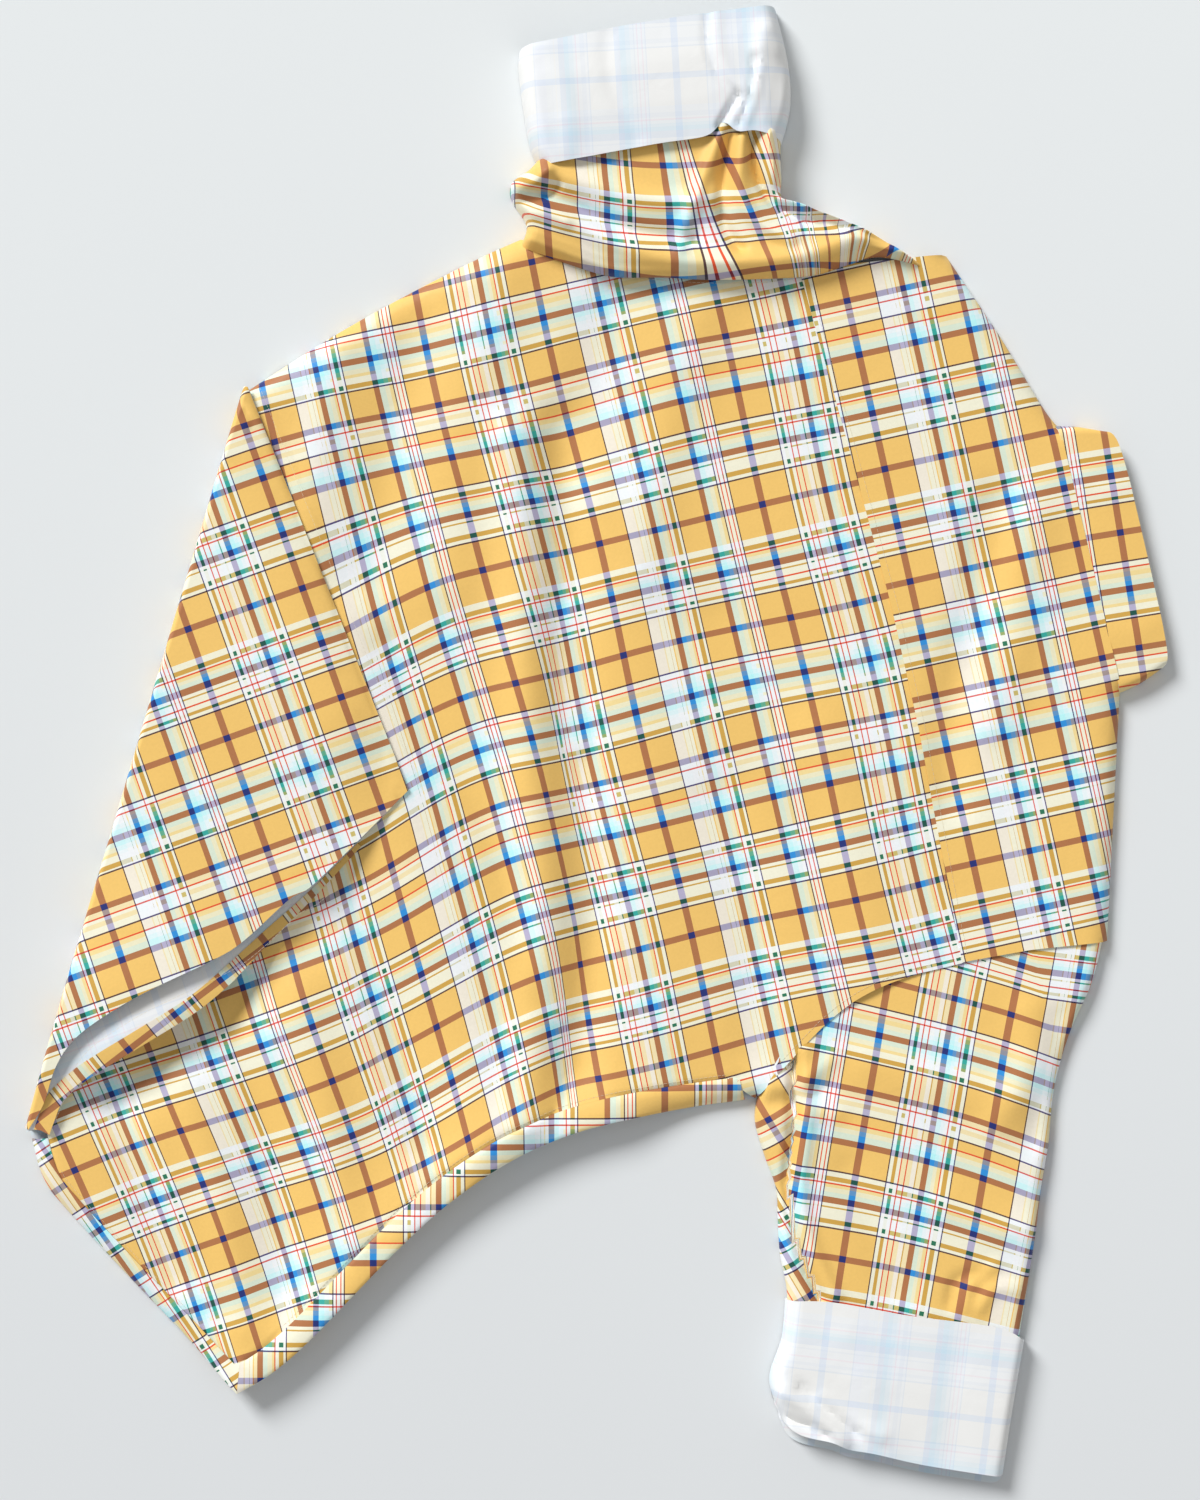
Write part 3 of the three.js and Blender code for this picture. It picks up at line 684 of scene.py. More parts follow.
# %% Thread, stiffening and snaps
def plain_material(name, code, roughness, grain, depth):
    """A finish of one colour with a fine noise for its grain."""
    material, tree, shader = new_material(name)
    shader.inputs["Roughness"].default_value = roughness
    where = add_node(tree, "ShaderNodeTexCoord")
    noise = add_node(tree, "ShaderNodeTexNoise", None, {"Vector": where.outputs["Object"], "Scale": grain})
    light, shade = linear(code), tuple(0.86 * part for part in linear(code)[:3]) + (1.0,)
    mixed = blend_colour(tree, noise.outputs["Fac"], shade, light)
    tree.links.new(mixed, shader.inputs["Base Color"])
    bump = add_node(tree, "ShaderNodeBump", None,
                    {"Strength": 0.5, "Distance": depth, "Height": noise.outputs["Fac"]})
    tree.links.new(bump.outputs["Normal"], shader.inputs["Normal"])
    return material


thread_finish = plain_material("spun polyester thread", "#eadfc6", 0.6, 2500, 0.0001)
stiffening_finish = plain_material("non-woven stiffening", "#f4f4f2", 0.85, 1500, 0.0002)
snap_finish = plain_material("moulded acetal snap", "#f3efe4", 0.35, 300, 0.00002)
print("three small finishes")

# %% [markdown]
# ## The back
# Under everything lies the back, cut in two halves that lap down the middle and close with
# snaps. It is flat on the table with its print down, so it shows only from below. The snaps
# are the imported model's own, because their shape is already right; they only get a finish.

# %% Back halves, facings and snaps
all_pieces = []
LAP_HALF = 45


def back_height(points):
    """The right half climbs over the left one where they lap."""
    climb = ease(-49, -45, points[:, 1]) * (points[:, 1] < LAP_HALF + 5)
    return 0.7 + 5.6 * climb


back_grain = on_the_roll(0, (0, 0), (18, 9))
back_left = panel(
    "back_left",
    [[(0.5, -44), neck_left], left_shoulder, left_armhole, left_side, hem[:-1],
     [FOLD_END, (758, -44)], [(758, -44), (0.5, -44)]],
    lambda points: 0.7 + side_lift(points), back_grain, 16, (2, 6, 14), True,
)
finish_cloth(back_left, printed, reverse)
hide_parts("back_panel_left", "back_hem_turning")

back_right = panel(
    "back_right",
    [[(809, 44), (758, -44)], [(758, -44), FOLD_START], right_side, right_armhole,
     right_shoulder, [neck_right, (0.5, 44)], [(0.5, 44), (809, 44)]],
    back_height, back_grain, 16, (2, 6), True,
)
finish_cloth(back_right, printed, reverse)
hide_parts("back_panel_right")


def facing(name, node):
    """A facing strip of the back opening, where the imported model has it."""
    low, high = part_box(node)
    height = high.z * 1000 - 0.1
    v_low, v_high = -30, 30
    strip = panel(name, [[(20, v_low), (20, v_high)], [(20, v_high), (620, v_high)],
                         [(620, v_high), (620, v_low)], [(620, v_low), (20, v_low)]],
                  lambda points: np.full(len(points), height), back_grain, 16, (2,), True)
    finish_cloth(strip, reverse, printed)
    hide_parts(node)
    return strip


lower_facing = facing("facing_lower", "back_facing_left")
upper_facing = facing("facing_upper", "back_facing_right")
for name, node in frame["nodes"].items():
    if name.startswith("snap_"):
        node.data.materials.clear()
        node.data.materials.append(snap_finish)
all_pieces += [back_left, back_right, lower_facing, upper_facing]

# %% [markdown]
# ## Front, yoke and the wrapped edges
# The front hangs from the yoke. The side seam doesn't lie on the edge: the back wraps round
# to the top by 2 cm, and at the hem its turning does the same, so a strip with its own grain
# runs along both. Each is a separate cut on the same height field.

# %% Yoke and front
def yoke_height(points):
    """The yoke lies over the front's raw edge."""
    return front_height(points) + 0.9


yoke = panel(
    "yoke",
    [[neck_right, neck_left], left_shoulder, [left_tip, (117, 292), (YOKE_SEAM + 1, 289)],
     [(YOKE_SEAM + 1, 289), (YOKE_SEAM - 8, 100), (YOKE_SEAM - 9, 0), (YOKE_SEAM - 5, -130),
      (YOKE_SEAM + 1, -275)],
     [(YOKE_SEAM + 1, -275), (134, -272), right_tip], right_shoulder],
    yoke_height, on_the_roll(-0.6, (100, 0), (3, 5)),
)
finish_cloth(yoke, printed, reverse)
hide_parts("front_yoke")

armhole_low_left = left_armhole[left_armhole[:, 0] > YOKE_SEAM - 4]
armhole_low_right = right_armhole[right_armhole[:, 0] > YOKE_SEAM - 4]
front_top = YOKE_SEAM - 14

front = panel(
    "front_body",
    [[(front_top, -275), (front_top, 289)],
     np.vstack([[(front_top, 289)], armhole_low_left]),
     np.vstack([[left_underarm], side_seam[2:], [seam_corner]]),
     np.vstack([[seam_corner], hem_seam, [FOLD_END]]),
     fold, right_side, np.vstack([armhole_low_right, [(front_top, -275)]])],
    front_height, body_grain,
)
finish_cloth(front, printed, reverse)
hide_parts("front_panel", "front_hem_turning")


# %% Wrapped strips
def strip(name, seam, edge, lay, drop):
    """A strip of cloth between a seam on the top and the edge of the garment."""
    piece = panel(name, [seam, [seam[-1], edge[-1]], edge[::-1], [edge[0], seam[0]]],
                  lambda points: front_height(points) - drop, lay, 5, (1.2, 3))
    return cut_straight(piece, length_of(edge) / 1000)


def cut_straight(piece, length):
    """A strip is cut straight from the roll, so its flat size is its length by its mean width."""
    piece["cut_size"] = [length, piece["cut_area"] / length * 1.02]
    return piece


side_strip = strip("side_wrap", np.vstack([side_seam[1:], [seam_corner]]), evenly(left_side, 60)[1:],
                   on_the_roll(-13, (600, 400), (29, 17)), -0.5)
finish_cloth(side_strip, printed, reverse)
hem_strip = strip("hem_wrap", np.vstack([[seam_corner], hem_seam[:-1]]), evenly(hem, 40)[:-1],
                  on_the_roll(21, (870, 380), (12, 22)), -0.6)
finish_cloth(hem_strip, printed, reverse)
all_pieces += [yoke, front, side_strip, hem_strip]

# %% [markdown]
# ## Flattened tubes
# Sleeves, cuffs and the collar are tubes of cloth pressed flat: a top layer and a bottom one
# that meet round two soft edges. One maker serves them all. It fills the space between four
# edge lines, lifts the top, rounds the sides and adds the folds that it is given.


# %% Tube maker
def tube(name, first, last, inner, outer, tops, lows, lay, under, rounds=(9, 9), folds=(), reach=0.0,
         spacing=5.0, pull=0.0, tuck=0.0):
    """A flattened tube from the line first to the line last, between inner and outer edges.

    The top can tuck in at its first end, and the bottom can reach past its last end.
    """
    rows = max(8, round(max(length_of(inner), length_of(outer)) / spacing))
    width = (length_of(first) + length_of(last)) / 2
    edge = np.array([0, 0.5, 1.4, 2.8, 4.6, 7.0, 10.0]) / width
    between = np.linspace(14 / width, 1 - 14 / width, round(width / spacing))
    shares = np.concatenate([edge, between, 1 - edge[::-1]])
    count = len(shares)
    runs = [evenly(inner, rows + 1), evenly(outer, rows + 1)]
    start = evenly(first, 400)[np.round(shares * 399).astype(int)]
    end = evenly(last, 400)[np.round(shares * 399).astype(int)]
    steps = np.linspace(0, 1, rows + 1)
    s = np.repeat(steps, count)[:, None]
    w = np.tile(shares, rows + 1)[:, None]
    sides = (1 - w) * np.repeat(runs[0], count, axis=0) + w * np.repeat(runs[1], count, axis=0)
    ends = (1 - s) * np.tile(start, (rows + 1, 1)) + s * np.tile(end, (rows + 1, 1))
    corners = (1 - s) * ((1 - w) * start[0] + w * start[-1]) + s * ((1 - w) * end[0] + w * end[-1])
    flat = sides + ends - corners
    s, w = s[:, 0], w[:, 0]
    way = end.mean(axis=0) - start.mean(axis=0)
    way = way / np.linalg.norm(way)
    tucked = tuck * np.clip(1 - s / 0.06, 0, 1) ** 2 * (4 * w * (1 - w)) ** 2
    flat = flat + np.outer(tucked, way)
    local = np.repeat(np.hypot(*(runs[1] - runs[0]).T), count)
    lift = np.minimum(roll(w * local, rounds[0]), roll((1 - w) * local, rounds[1]))
    top = np.interp(s, np.linspace(0, 1, len(tops)), tops)
    low = np.interp(s, np.linspace(0, 1, len(lows)), lows)
    height = low + (top - low) * lift + waves(flat, folds) * lift
    beneath = flat + np.outer(reach * s ** 3 * lift, way)
    grid = np.arange((rows + 1) * count).reshape(rows + 1, count)
    below = grid + (rows + 1) * count
    below[:, 0], below[:, -1] = grid[:, 0], grid[:, -1]
    faces, corners_uv = [], []
    above_cut = lay(flat + np.outer(waves(flat, folds) * pull, way)) / 1000
    below_cut = np.vstack([under(flat), under(beneath)]) / 1000
    for i in range(rows):
        for j in range(count - 1):
            upper = [grid[i, j], grid[i, j + 1], grid[i + 1, j + 1], grid[i + 1, j]]
            lower = [below[i, j], below[i + 1, j], below[i + 1, j + 1], below[i, j + 1]]
            faces.append([int(k) for k in upper])
            corners_uv += [above_cut[k] for k in upper]
            faces.append([int(k) for k in lower])
            corners_uv += [below_cut[k] for k in lower]
    places = np.vstack([on_table(flat, height), on_table(beneath, low)])
    used = sorted({k for face in faces for k in face})
    renumber = {k: index for index, k in enumerate(used)}
    faces = [[renumber[k] for k in face] for face in faces]
    if signed_turn(flat, grid) < 0:
        faces = [face[::-1] for face in faces]
        corners_uv = [c for at in range(0, len(corners_uv), 4) for c in corners_uv[at:at + 4][::-1]]
    piece = build(name, places[used], faces, corners_uv)
    # A tube has no drawn cut, so its flat area is the surface that was just built.
    area = sum(face.area for face in piece.data.polygons)
    around = 2 * max(length_of(first), length_of(last)) / 1000
    piece["cut_area"] = area
    piece["cut_size"] = [around, max(area / around * 1.02, max(length_of(inner), length_of(outer)) / 1000)]
    return piece


def signed_turn(flat, grid):
    """Positive where the grid's first cell runs anticlockwise seen from above."""
    middle = grid.shape[0] // 2
    a, b, c = flat[grid[middle, 5]], flat[grid[middle, 8]], flat[grid[middle + 1, 8]]
    return float((b[0] - a[0]) * (c[1] - a[1]) - (b[1] - a[1]) * (c[0] - a[0]))


# %% [markdown]
# ## Left sleeve
# The left sleeve lies straight. Its under layer shows beside the top one on the inner side,
# the cloth is crumpled at the armpit, and its end is turned back as a deep white cuff.

# %% Left sleeve and cuff
sleeve_grain = on_the_roll(-22, (200, 300), (6, 14))


def sleeve_lay(points):
    """The sleeve's grain; the under layer past the inner fold is another part of the cloth."""
    points = np.asarray(points, float)
    edge = np.interp(points[:, 1], [330, 386, 432, 476, 530], [321, 333, 349, 352, 344])
    under_layer = points[:, 0] > edge
    hang = 15 * np.clip((340 - points[:, 0]) / 160, 0, 1.4) ** 2
    across = 4.5 * np.sin(points[:, 1] / 45) * ease(260, 120, points[:, 0]) - hang
    laid = sleeve_grain(points + np.column_stack([np.zeros(len(points)), across]))
    turned = on_the_roll(18, (350, 420), (41, 27))(points)
    return np.where(under_layer[:, None], turned, laid)


left_sleeve = tube(
    "left_sleeve_cloth",
    smooth([(352, 350), (311, 312), (259, 296), (177, 286), (57, 296)], 8),
    smooth([(372, 531), (335, 541), (279, 563), (220, 585), (199, 599)], 6),
    smooth([(352, 350), (362, 374), (361, 405), (358, 432), (362, 455), (367, 484), (368, 511),
            (372, 531)], 5),
    smooth([(57, 296), (74, 329), (101, 365), (123, 405), (138, 448), (151, 479), (166, 519), (182, 558),
            (199, 599)], 5),
    [13.0, 13.8, 13.6, 12.4], [0.6, 0.6, 0.6, 2.6],
    sleeve_lay, on_the_roll(-22, (200, 300), (61, 37)), (24, 9),
    [([(311, 330), (322, 385), (338, 432), (341, 476), (332, 524)], 5.5, 3.6),
     ([(322, 336), (334, 386), (350, 432), (353, 476), (345, 526)], 4, -7.0),
     ([(345, 352), (318, 352), (292, 340)], 7, 2.6),
     ([(350, 362), (322, 366), (300, 362)], 6, -2.2),
     ([(345, 378), (322, 380), (298, 384)], 7, 1.8),
     ([(262, 352), (215, 380), (160, 402)], 20, 2.8),
     ([(130, 340), (140, 380), (175, 420)], 14, 3.0),
     ([(105, 350), (122, 390), (150, 440)], 10, -2.6),
     ([(230, 470), (200, 500), (168, 508)], 12, 2.2),
     ([(222, 560), (208, 548), (190, 552)], 5, 3.0),
     ([(245, 552), (236, 535), (216, 534)], 4, -2.6),
     ([(232, 556), (224, 540), (202, 530)], 4, 2.0),
     ([(300, 430), (290, 480), (285, 530)], 16, -2.6)],
)
finish_cloth(left_sleeve, printed, reverse)
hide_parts("left_sleeve", "left_sleeve_head_front", "left_sleeve_head_back")

cuff_grain = on_the_roll(-20, (280, 600), (20, 4))
left_cuff = tube(
    "left_cuff_cloth",
    smooth([(371, 519), (335, 528), (279, 552), (220, 574), (201, 585), (193, 595)], 6),
    smooth([(396, 611), (384, 625), (360, 637), (349, 645), (330, 653), (293, 671), (234, 695)], 6),
    smooth([(371, 519), (381, 549), (396, 573), (399, 588), (396, 611)], 6),
    smooth([(193, 595), (214, 645), (234, 695)], 6),
    [19.5, 20.0, 18.5], [1.6, 1.6, 1.6], cuff_grain, cuff_grain, (12, 9),
    [([(390, 588), (374, 604), (352, 636)], 6, 5.0),
     ([(376, 588), (362, 606), (340, 634)], 4, -4.0),
     ([(362, 600), (345, 622), (322, 640)], 5, 3.0),
     ([(398, 604), (380, 618), (362, 630)], 3, -3.5),
     ([(330, 560), (322, 600), (318, 640)], 16, 1.4),
     ([(250, 590), (262, 630), (270, 665)], 14, -1.0)],
    reach=9.0,
)
finish_cloth(left_cuff, reverse, reverse, 1.0)
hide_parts("left_cuff", "left_cuff_turning")

# %% [markdown]
# ## Right sleeve
# The right sleeve is pushed up, so its short length is full of folds: they fan out from where
# the cuff pinches it and one big fold droops over the body. Folds take up cloth, so the print
# is pulled along with them.

# %% Right sleeve and cuff
def swag(points):
    """The sleeve's grain hangs in a curve, and fans out from where the cuff pinches it."""
    points = np.asarray(points, float)
    sag = 46 * (1 - ((points[:, 0] - 225) / 160) ** 2)
    middle = np.exp(-((points[:, 0] - 205) / 45) ** 2)
    right = ease(175, 120, points[:, 0])
    fan = (0.34 * middle - 0.45 * right) * (points[:, 1] + 392)
    bent = np.column_stack([points[:, 0] + fan, points[:, 1] - 0.8 * sag])
    return on_the_roll(-9, (260, -340), (16, -9))(bent)


right_sleeve = tube(
    "right_sleeve_cloth",
    smooth([(386, -346), (349, -320), (317, -300), (279, -289), (247, -279), (206, -270), (164, -264),
            (134, -268), (108, -270), (72, -254)], 5),
    smooth([(350, -414), (262, -411), (205, -412), (152, -404)], 6),
    smooth([(386, -346), (376, -362), (383, -384), (380, -397), (364, -404), (350, -414)], 6),
    smooth([(72, -254), (109, -290), (153, -320), (172, -334), (169, -352), (163, -380), (152, -404)], 6),
    [16, 27, 29, 29, 28.5, 28, 28, 28, 27.5, 27, 27, 26.5, 26, 25.5, 25], [0.6, 0.6, 0.6, 1.5, 2.6],
    swag, on_the_roll(-7, (260, -340), (50, 31)), (10, 11),
    [([(378, -386), (340, -352), (303, -322), (262, -302), (215, -290), (165, -284), (120, -290)], 9, 5.5),
     ([(362, -384), (330, -360), (296, -336), (252, -318)], 7, -6.0),
     ([(352, -398), (312, -372), (268, -352), (228, -346)], 9, 4.6),
     ([(206, -398), (232, -362), (252, -332), (262, -314)], 6, 5.0),
     ([(204, -392), (218, -356), (224, -326), (216, -302)], 4.5, -6.0),
     ([(194, -386), (204, -352), (200, -322), (176, -300)], 6, 5.6),
     ([(186, -388), (190, -360), (182, -332), (160, -312)], 4, -8.0),
     ([(172, -384), (174, -358), (168, -336), (160, -322)], 7, 7.0),
     ([(160, -338), (142, -314), (112, -300), (84, -280)], 8, 5.5),
     ([(150, -310), (126, -296), (100, -280)], 4, -5.0),
     ([(384, -394), (366, -388), (350, -396)], 5, 5.0),
     ([(382, -380), (364, -376), (346, -384)], 4, -5.0),
     ([(380, -368), (362, -362), (346, -352)], 5, 3.0)],
    spacing=3.2, pull=0.4, tuck=8,
)
finish_cloth(right_sleeve, printed, reverse)
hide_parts("right_sleeve", "right_sleeve_head_front", "right_sleeve_head_back")

right_cuff_grain = on_the_roll(-10, (250, -440), (8, 26))
right_cuff = tube(
    "right_cuff_cloth",
    smooth([(355, -403), (342, -401), (263, -397), (222, -394), (207, -402), (197, -392), (182, -389),
            (163, -378)], 5),
    smooth([(350, -498), (250, -494), (143, -484)], 6),
    smooth([(355, -403), (359, -418), (358, -445), (354, -484), (350, -498)], 5),
    smooth([(163, -378), (149, -406), (143, -440), (143, -484)], 5),
    [32, 32.5, 31, 27], [0.8, 0.8, 0.8, 0.8], right_cuff_grain, right_cuff_grain, (13, 13),
    [([(198, -490), (204, -466), (202, -440), (190, -418)], 3, -2.2),
     ([(190, -490), (196, -466), (194, -440), (184, -420)], 5, 1.4),
     ([(190, -420), (202, -408), (210, -400)], 3, -4.0),
     ([(158, -466), (172, -432), (190, -402)], 6, 3.6),
     ([(170, -446), (180, -420), (194, -398)], 3, -4.4),
     ([(150, -440), (160, -412), (168, -390)], 5, -3.0),
     ([(330, -492), (322, -450), (330, -410)], 9, 1.4),
     ([(280, -490), (286, -450), (276, -405)], 6, -1.2)],
    spacing=3.5,
)
finish_cloth(right_cuff, reverse, reverse, 1.0)
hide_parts("right_cuff", "right_cuff_turning")

# %% [markdown]
# ## Collar
# The collar is a band of two layers with a stiffening between, laid flat like the rest. Its
# ends slope in. All three are the same tube, each a little inside the one before.


# %% Collar band
def collar_tube(name, inset, lay):
    """One of the collar's layers, inset from the outermost one by that many mm."""
    low, high = 0.8 + inset, 14.6 - inset
    shut = 110 - inset
    return tube(
        name,
        smooth([(1.5, -shut), (0, 0), (1.5, shut)], 8),
        smooth([(-33, -97 + inset), (-43, -82), (-44.5, 0), (-43, 80), (-38, 98 - inset)], 8),
        smooth([(1.5, -shut), (-16, -105 + inset), (-33, -97 + inset)], 6),
        smooth([(1.5, shut), (-18, 106 - inset), (-38, 98 - inset)], 6),
        [high, high + 0.3, high - 0.6], [low, low, low], lay, lay, (7, 7),
        [([(-6, -60), (-24, -50), (-40, -52)], 10, 1.0), ([(-4, 60), (-20, 66), (-40, 60)], 12, 1.0)],
        spacing=4.0,
    )


collar_grain = on_the_roll(-4, (0, 0), (38, 7))
collar_outer = finish_cloth(collar_tube("collar_outer_band", 0, collar_grain), printed, reverse)
collar_stiffening = finish_cloth(collar_tube("collar_stiffening", 1.2, collar_grain),
                                 stiffening_finish, stiffening_finish)
collar_lining = finish_cloth(collar_tube("collar_lining", 2.4, collar_grain), reverse, printed)
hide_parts("collar_outer")
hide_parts("collar_stiffener")
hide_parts("collar_inner")
all_pieces += [left_sleeve, left_cuff, right_sleeve, right_cuff]
all_pieces += [collar_outer, collar_stiffening, collar_lining]

# %% [markdown]
# ## The folded corner
# The right-hand corner of the hem is folded over the front. Its top is the back's print; under
# it lies the front with its white side up, and at the open hem a strip of that front's turning
# shows. The back's cloth goes right round the fold, so it is one piece with the corner's top.

# %% Corner, under layer
fold_way = (np.array(FOLD_END, float) - FOLD_START) / np.hypot(307, 536)
fold_out = np.array([fold_way[1], -fold_way[0]])
seam_end = (570, 55)
corner_seam = np.array([FOLD_START, seam_end], float)
corner_hem = smooth([seam_end, (657, 109), (680, 117), (723, 141), (749, 150), (809, 163),
                     (852, 177), (875, 189), (892, 206), (908, 231), (925, 248)], 5)
under_hem = smooth([seam_end, (655, 109), (706, 137), (747, 160), (777, 175), (815, 188), (858, 202),
                    (879, 210), (902, 223), (915, 240), (921, 249)], 5)


def under_height(points):
    """The under layer rests on the front and rises to the fold and the open hem."""
    from_seam = np.clip(distance_to(corner_seam, points), 0, 60) / 60
    from_fold = distance_to(fold, points)
    resting = front_height(points) + 0.9
    near_hem = np.exp(-(distance_to(under_hem, points) / 45) ** 2)
    middle = np.exp(-(np.hypot(points[:, 0] - 815, points[:, 1] - 185) / 85) ** 2)
    return np.maximum(resting, 14.6) + 1.6 * from_seam * np.exp(-from_fold / 60) + 18 * near_hem * middle


corner_under = panel(
    "corner_under",
    [corner_seam, under_hem, [(921, 249), FOLD_END], [FOLD_END, FOLD_START]],
    under_height, on_the_roll(6.5, (700, 0), (23, -12)), 8, (2, 5),
)
finish_cloth(corner_under, reverse, printed)
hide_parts("flap_front")

shown_hem = under_hem[3:]
depths = np.interp(np.arange(len(shown_hem)), [0, 12], [4, 13])[:, None]
turned_edge = shown_hem + (beside(shown_hem, -1) - shown_hem) * depths
under_strip = panel(
    "corner_under_turning",
    [shown_hem, [(921, 249), (911, 253)], turned_edge[::-1], [turned_edge[0], shown_hem[0]]],
    lambda points: under_height(points) + 0.7, on_the_roll(24, (800, 180), (4, 31)), 5, (1.5,),
)
cut_straight(under_strip, length_of(shown_hem) / 1000)
finish_cloth(under_strip, printed, reverse)
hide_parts("flap_front_turning")

# %% Corner, top layer wrapped round the fold
CORNER_TOP = 23.5
WRAP_RADIUS = 4.2


def corner_height(points):
    """High beside the fold and the open hem, down on the under layer at the side seam."""
    from_seam = distance_to(corner_seam, points)
    at_seam = roll(from_seam, 34)
    fell = 1.2 * np.exp(-((from_seam - 9) / 1.8) ** 2)
    near_hem = distance_to(corner_hem, points)
    share = ease(0, 300, np.hypot(points[:, 0] - FOLD_START[0], points[:, 1] - FOLD_START[1]))
    closed = ease(0, 90, np.hypot(points[:, 0] - seam_end[0], points[:, 1] - seam_end[1]))
    sag = 1.8 * np.exp(-(near_hem / 30) ** 2) * (1 - closed)
    ripple = waves(points, [([(760, 20), (720, 60), (690, 100)], 26, 1.2),
                            ([(840, 110), (800, 140)], 22, -1.2),
                            ([(660, -180), (640, -110), (610, -20)], 22, 0.8)])
    rise = CORNER_TOP - 17.6 + 4.5 * share
    arch = 12 * np.exp(-(np.hypot(points[:, 0] - 815, points[:, 1] - 165) / 80) ** 2)
    shut = ease(0, 70, np.hypot(points[:, 0] - FOLD_END[0], points[:, 1] - FOLD_END[1]))
    lifted = 17.6 + rise * at_seam * (0.35 + 0.65 * closed) * (0.2 + 0.8 * shut)
    return np.maximum(lifted + (ripple + arch) * at_seam - sag, under_height(points) + 1.6) - fell


top_fold = np.array([(925, 248), FOLD_START], float)
corner_grain = on_the_roll(6.5, (700, 0), (9, 8))
corner_top = panel(
    "corner_top",
    [corner_seam, corner_hem, top_fold],
    corner_height, corner_grain, 7, (1.2, 3, 6, 10),
)


def wrap_strip(name, line, top, lay):
    """The cloth that goes from the corner's top round the fold and in under the garment."""
    run = evenly(line, max(2, round(length_of(line) / 5) + 1))
    heights = top(run)
    sections = []
    for turn in np.linspace(90, -90, 13):
        out = math.cos(math.radians(turn)) * WRAP_RADIUS
        rise = (1 + math.sin(math.radians(turn))) / 2
        sections.append((out, rise))
    sections += [(-6, 0), (-14, 0)]
    places, cuts, walked, before = [], [], 0.0, None
    for out, rise in sections:
        at = run + fold_out * out
        level = 0.9 + (heights - 0.9) * rise
        here = np.column_stack([at, level])
        if before is not None:
            walked = walked + np.linalg.norm(here - before, axis=1)
        before = here
        places.append(on_table(at, level))
        cuts.append(lay(run + fold_out * np.broadcast_to(walked, len(run))[:, None]) / 1000)
    across = len(run)
    places, cuts = np.concatenate(places), np.concatenate(cuts)
    faces = []
    for i in range(len(sections) - 1):
        for j in range(across - 1):
            a = i * across + j
            faces.append([a, a + across, a + across + 1, a + 1])
    return build(name, places, faces, [cuts[k] for face in faces for k in face])


corner_wrap = wrap_strip("corner_wrap", top_fold, corner_height, corner_grain)
bpy.ops.object.select_all(action="DESELECT")
corner_wrap.select_set(True)
corner_top.select_set(True)
bpy.context.view_layer.objects.active = corner_top
bpy.ops.object.join()
bpy.ops.object.mode_set(mode="EDIT")
bpy.ops.mesh.select_all(action="SELECT")
bpy.ops.mesh.remove_doubles(threshold=0.0004)
bpy.ops.mesh.normals_make_consistent(inside=False)
bpy.ops.object.mode_set(mode="OBJECT")
# Like a tube, the wrapped corner has no drawn cut: its area is its own surface, and its two
# sides are given as round figures.
corner_top["cut_area"] = sum(face.area for face in corner_top.data.polygons)
corner_top["cut_size"] = [0.64, 0.36]
finish_cloth(corner_top, printed, reverse)
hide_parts("flap_back", "flap_back_turning")
all_pieces += [corner_under, under_strip, corner_top]

# %% [markdown]
# ## Stitching
# The yoke, the armholes, the side, the hem, and the corner's seam and hem are topstitched. A
# stitch is one small bar of thread with pinched ends, 2.6 mm long; it is shaped once and copied
# along each line, just above the cloth. The thread is a little thicker than the real one so that
# it still shows.

# %% One stitch, and lines of it
bpy.ops.mesh.primitive_cylinder_add(vertices=6, radius=0.00024, depth=0.0026)
stitch = bpy.context.object
stitch.name = "stitch_model"
bpy.ops.object.mode_set(mode="EDIT")
bpy.ops.mesh.select_all(action="SELECT")
bpy.ops.transform.rotate(value=math.pi / 2, orient_axis="Y", center_override=(0, 0, 0))
bpy.ops.object.mode_set(mode="OBJECT")
stitch_points = np.array([vertex.co[:] for vertex in stitch.data.vertices])
stitch_points[:, :] *= np.where(np.abs(stitch_points[:, :1]) > 0.001, (1, 0.45, 0.45), (1, 1, 1))
stitch_faces = [list(face.vertices) for face in stitch.data.polygons]
bpy.data.objects.remove(stitch)


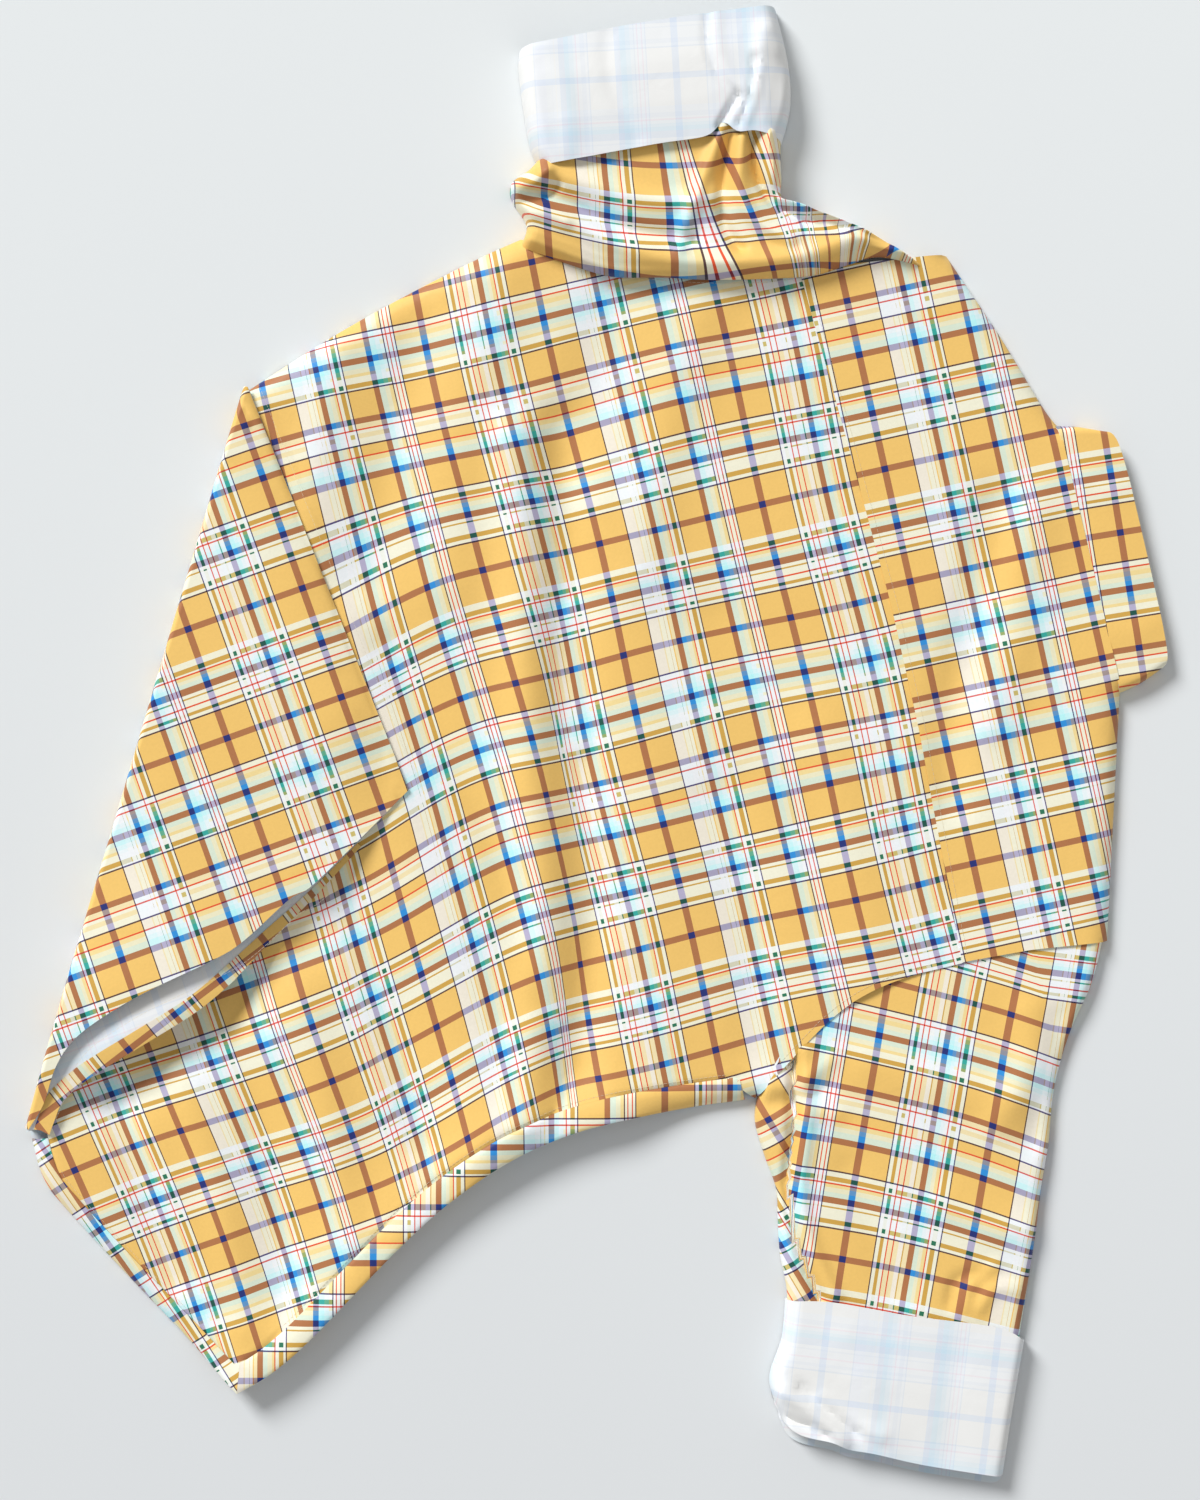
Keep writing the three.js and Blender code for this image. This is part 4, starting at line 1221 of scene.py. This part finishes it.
def stitch_line(name, line, height, body, pitch=3.6):
    """Stitches end to end along a garment line at the cloth's height."""
    count = max(2, int(length_of(line) / pitch))
    run = evenly(line, count + 1)
    places = on_table(run, height(run) + 0.25)
    points, faces = [], []
    for start, end in zip(places[:-1], places[1:]):
        middle = (start + end) / 2
        way = (end - start) / np.linalg.norm(end - start)
        side = np.cross((0, 0, 1), way)
        side /= np.linalg.norm(side)
        turn = np.array([way, side, np.cross(way, side)])
        base = len(points)
        points += list(middle + stitch_points @ turn)
        faces += [[base + k for k in face] for face in stitch_faces]
    mesh = bpy.data.meshes.new(name)
    mesh.from_pydata([tuple(point) for point in points], [], faces)
    piece = bpy.data.objects.new(name, mesh)
    scene.collection.objects.link(piece)
    mesh.materials.append(thread_finish)
    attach(piece, body)
    return piece


lines = [
    stitch_line("stitches_yoke", [(YOKE_SEAM - 4, 284), (YOKE_SEAM - 13, 100), (YOKE_SEAM - 14, 0),
                                  (YOKE_SEAM - 10, -130), (YOKE_SEAM - 4, -268)], yoke_height, "torso"),
    stitch_line("stitches_left_armhole", beside(left_armhole, 5)[3:-3], front_height, "torso"),
    stitch_line("stitches_right_armhole", beside(right_armhole, 5)[4:-4], front_height, "torso"),
    stitch_line("stitches_hem", beside(hem_seam, 3)[4:-4], front_height, "torso"),
    stitch_line("stitches_side", beside(side_seam, 3)[2:-4], front_height, "torso"),
    stitch_line("stitches_corner_seam", beside(corner_seam, -9), corner_height, "hem_corner"),
    stitch_line("stitches_corner_hem", beside(corner_hem, -14)[5:-4], corner_height, "hem_corner"),
]
print(len(lines), "lines of stitches")

# %% [markdown]
# ## What each piece moves with
# The panels that cross a fold line (the sleeves, the collar's layers and the corner's top) only have
# their places baked into their meshes and ride on no body. Everything else rides on its body.

# %% Bodies
for piece in (back_left, back_right, lower_facing, upper_facing, yoke, front, side_strip, hem_strip):
    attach(piece, "torso")
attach(left_cuff, "left_sleeve")
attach(right_cuff, "right_sleeve")
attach(corner_under, "hem_corner")
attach(under_strip, "hem_corner")


def bend_across(piece, start, end, out):
    """Bakes the piece's place into its mesh. It works out which side of the line from start to end faces out,
    but nothing bends and the piece rides on no body.
    """
    along = np.array(end, float) - start
    side = np.array([along[1], -along[0]]) / np.hypot(*along)
    side *= 1 if side @ out > 0 else -1
    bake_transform(piece)


bend_across(left_sleeve, (59, 312), (358, 364), (0, 1))
bend_across(right_sleeve, (128, -304), (380, -364), (0, -1))
for piece in (collar_outer, collar_stiffening, collar_lining):
    bend_across(piece, (0, -110), (0, 110), (-1, 0))
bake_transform(corner_top)
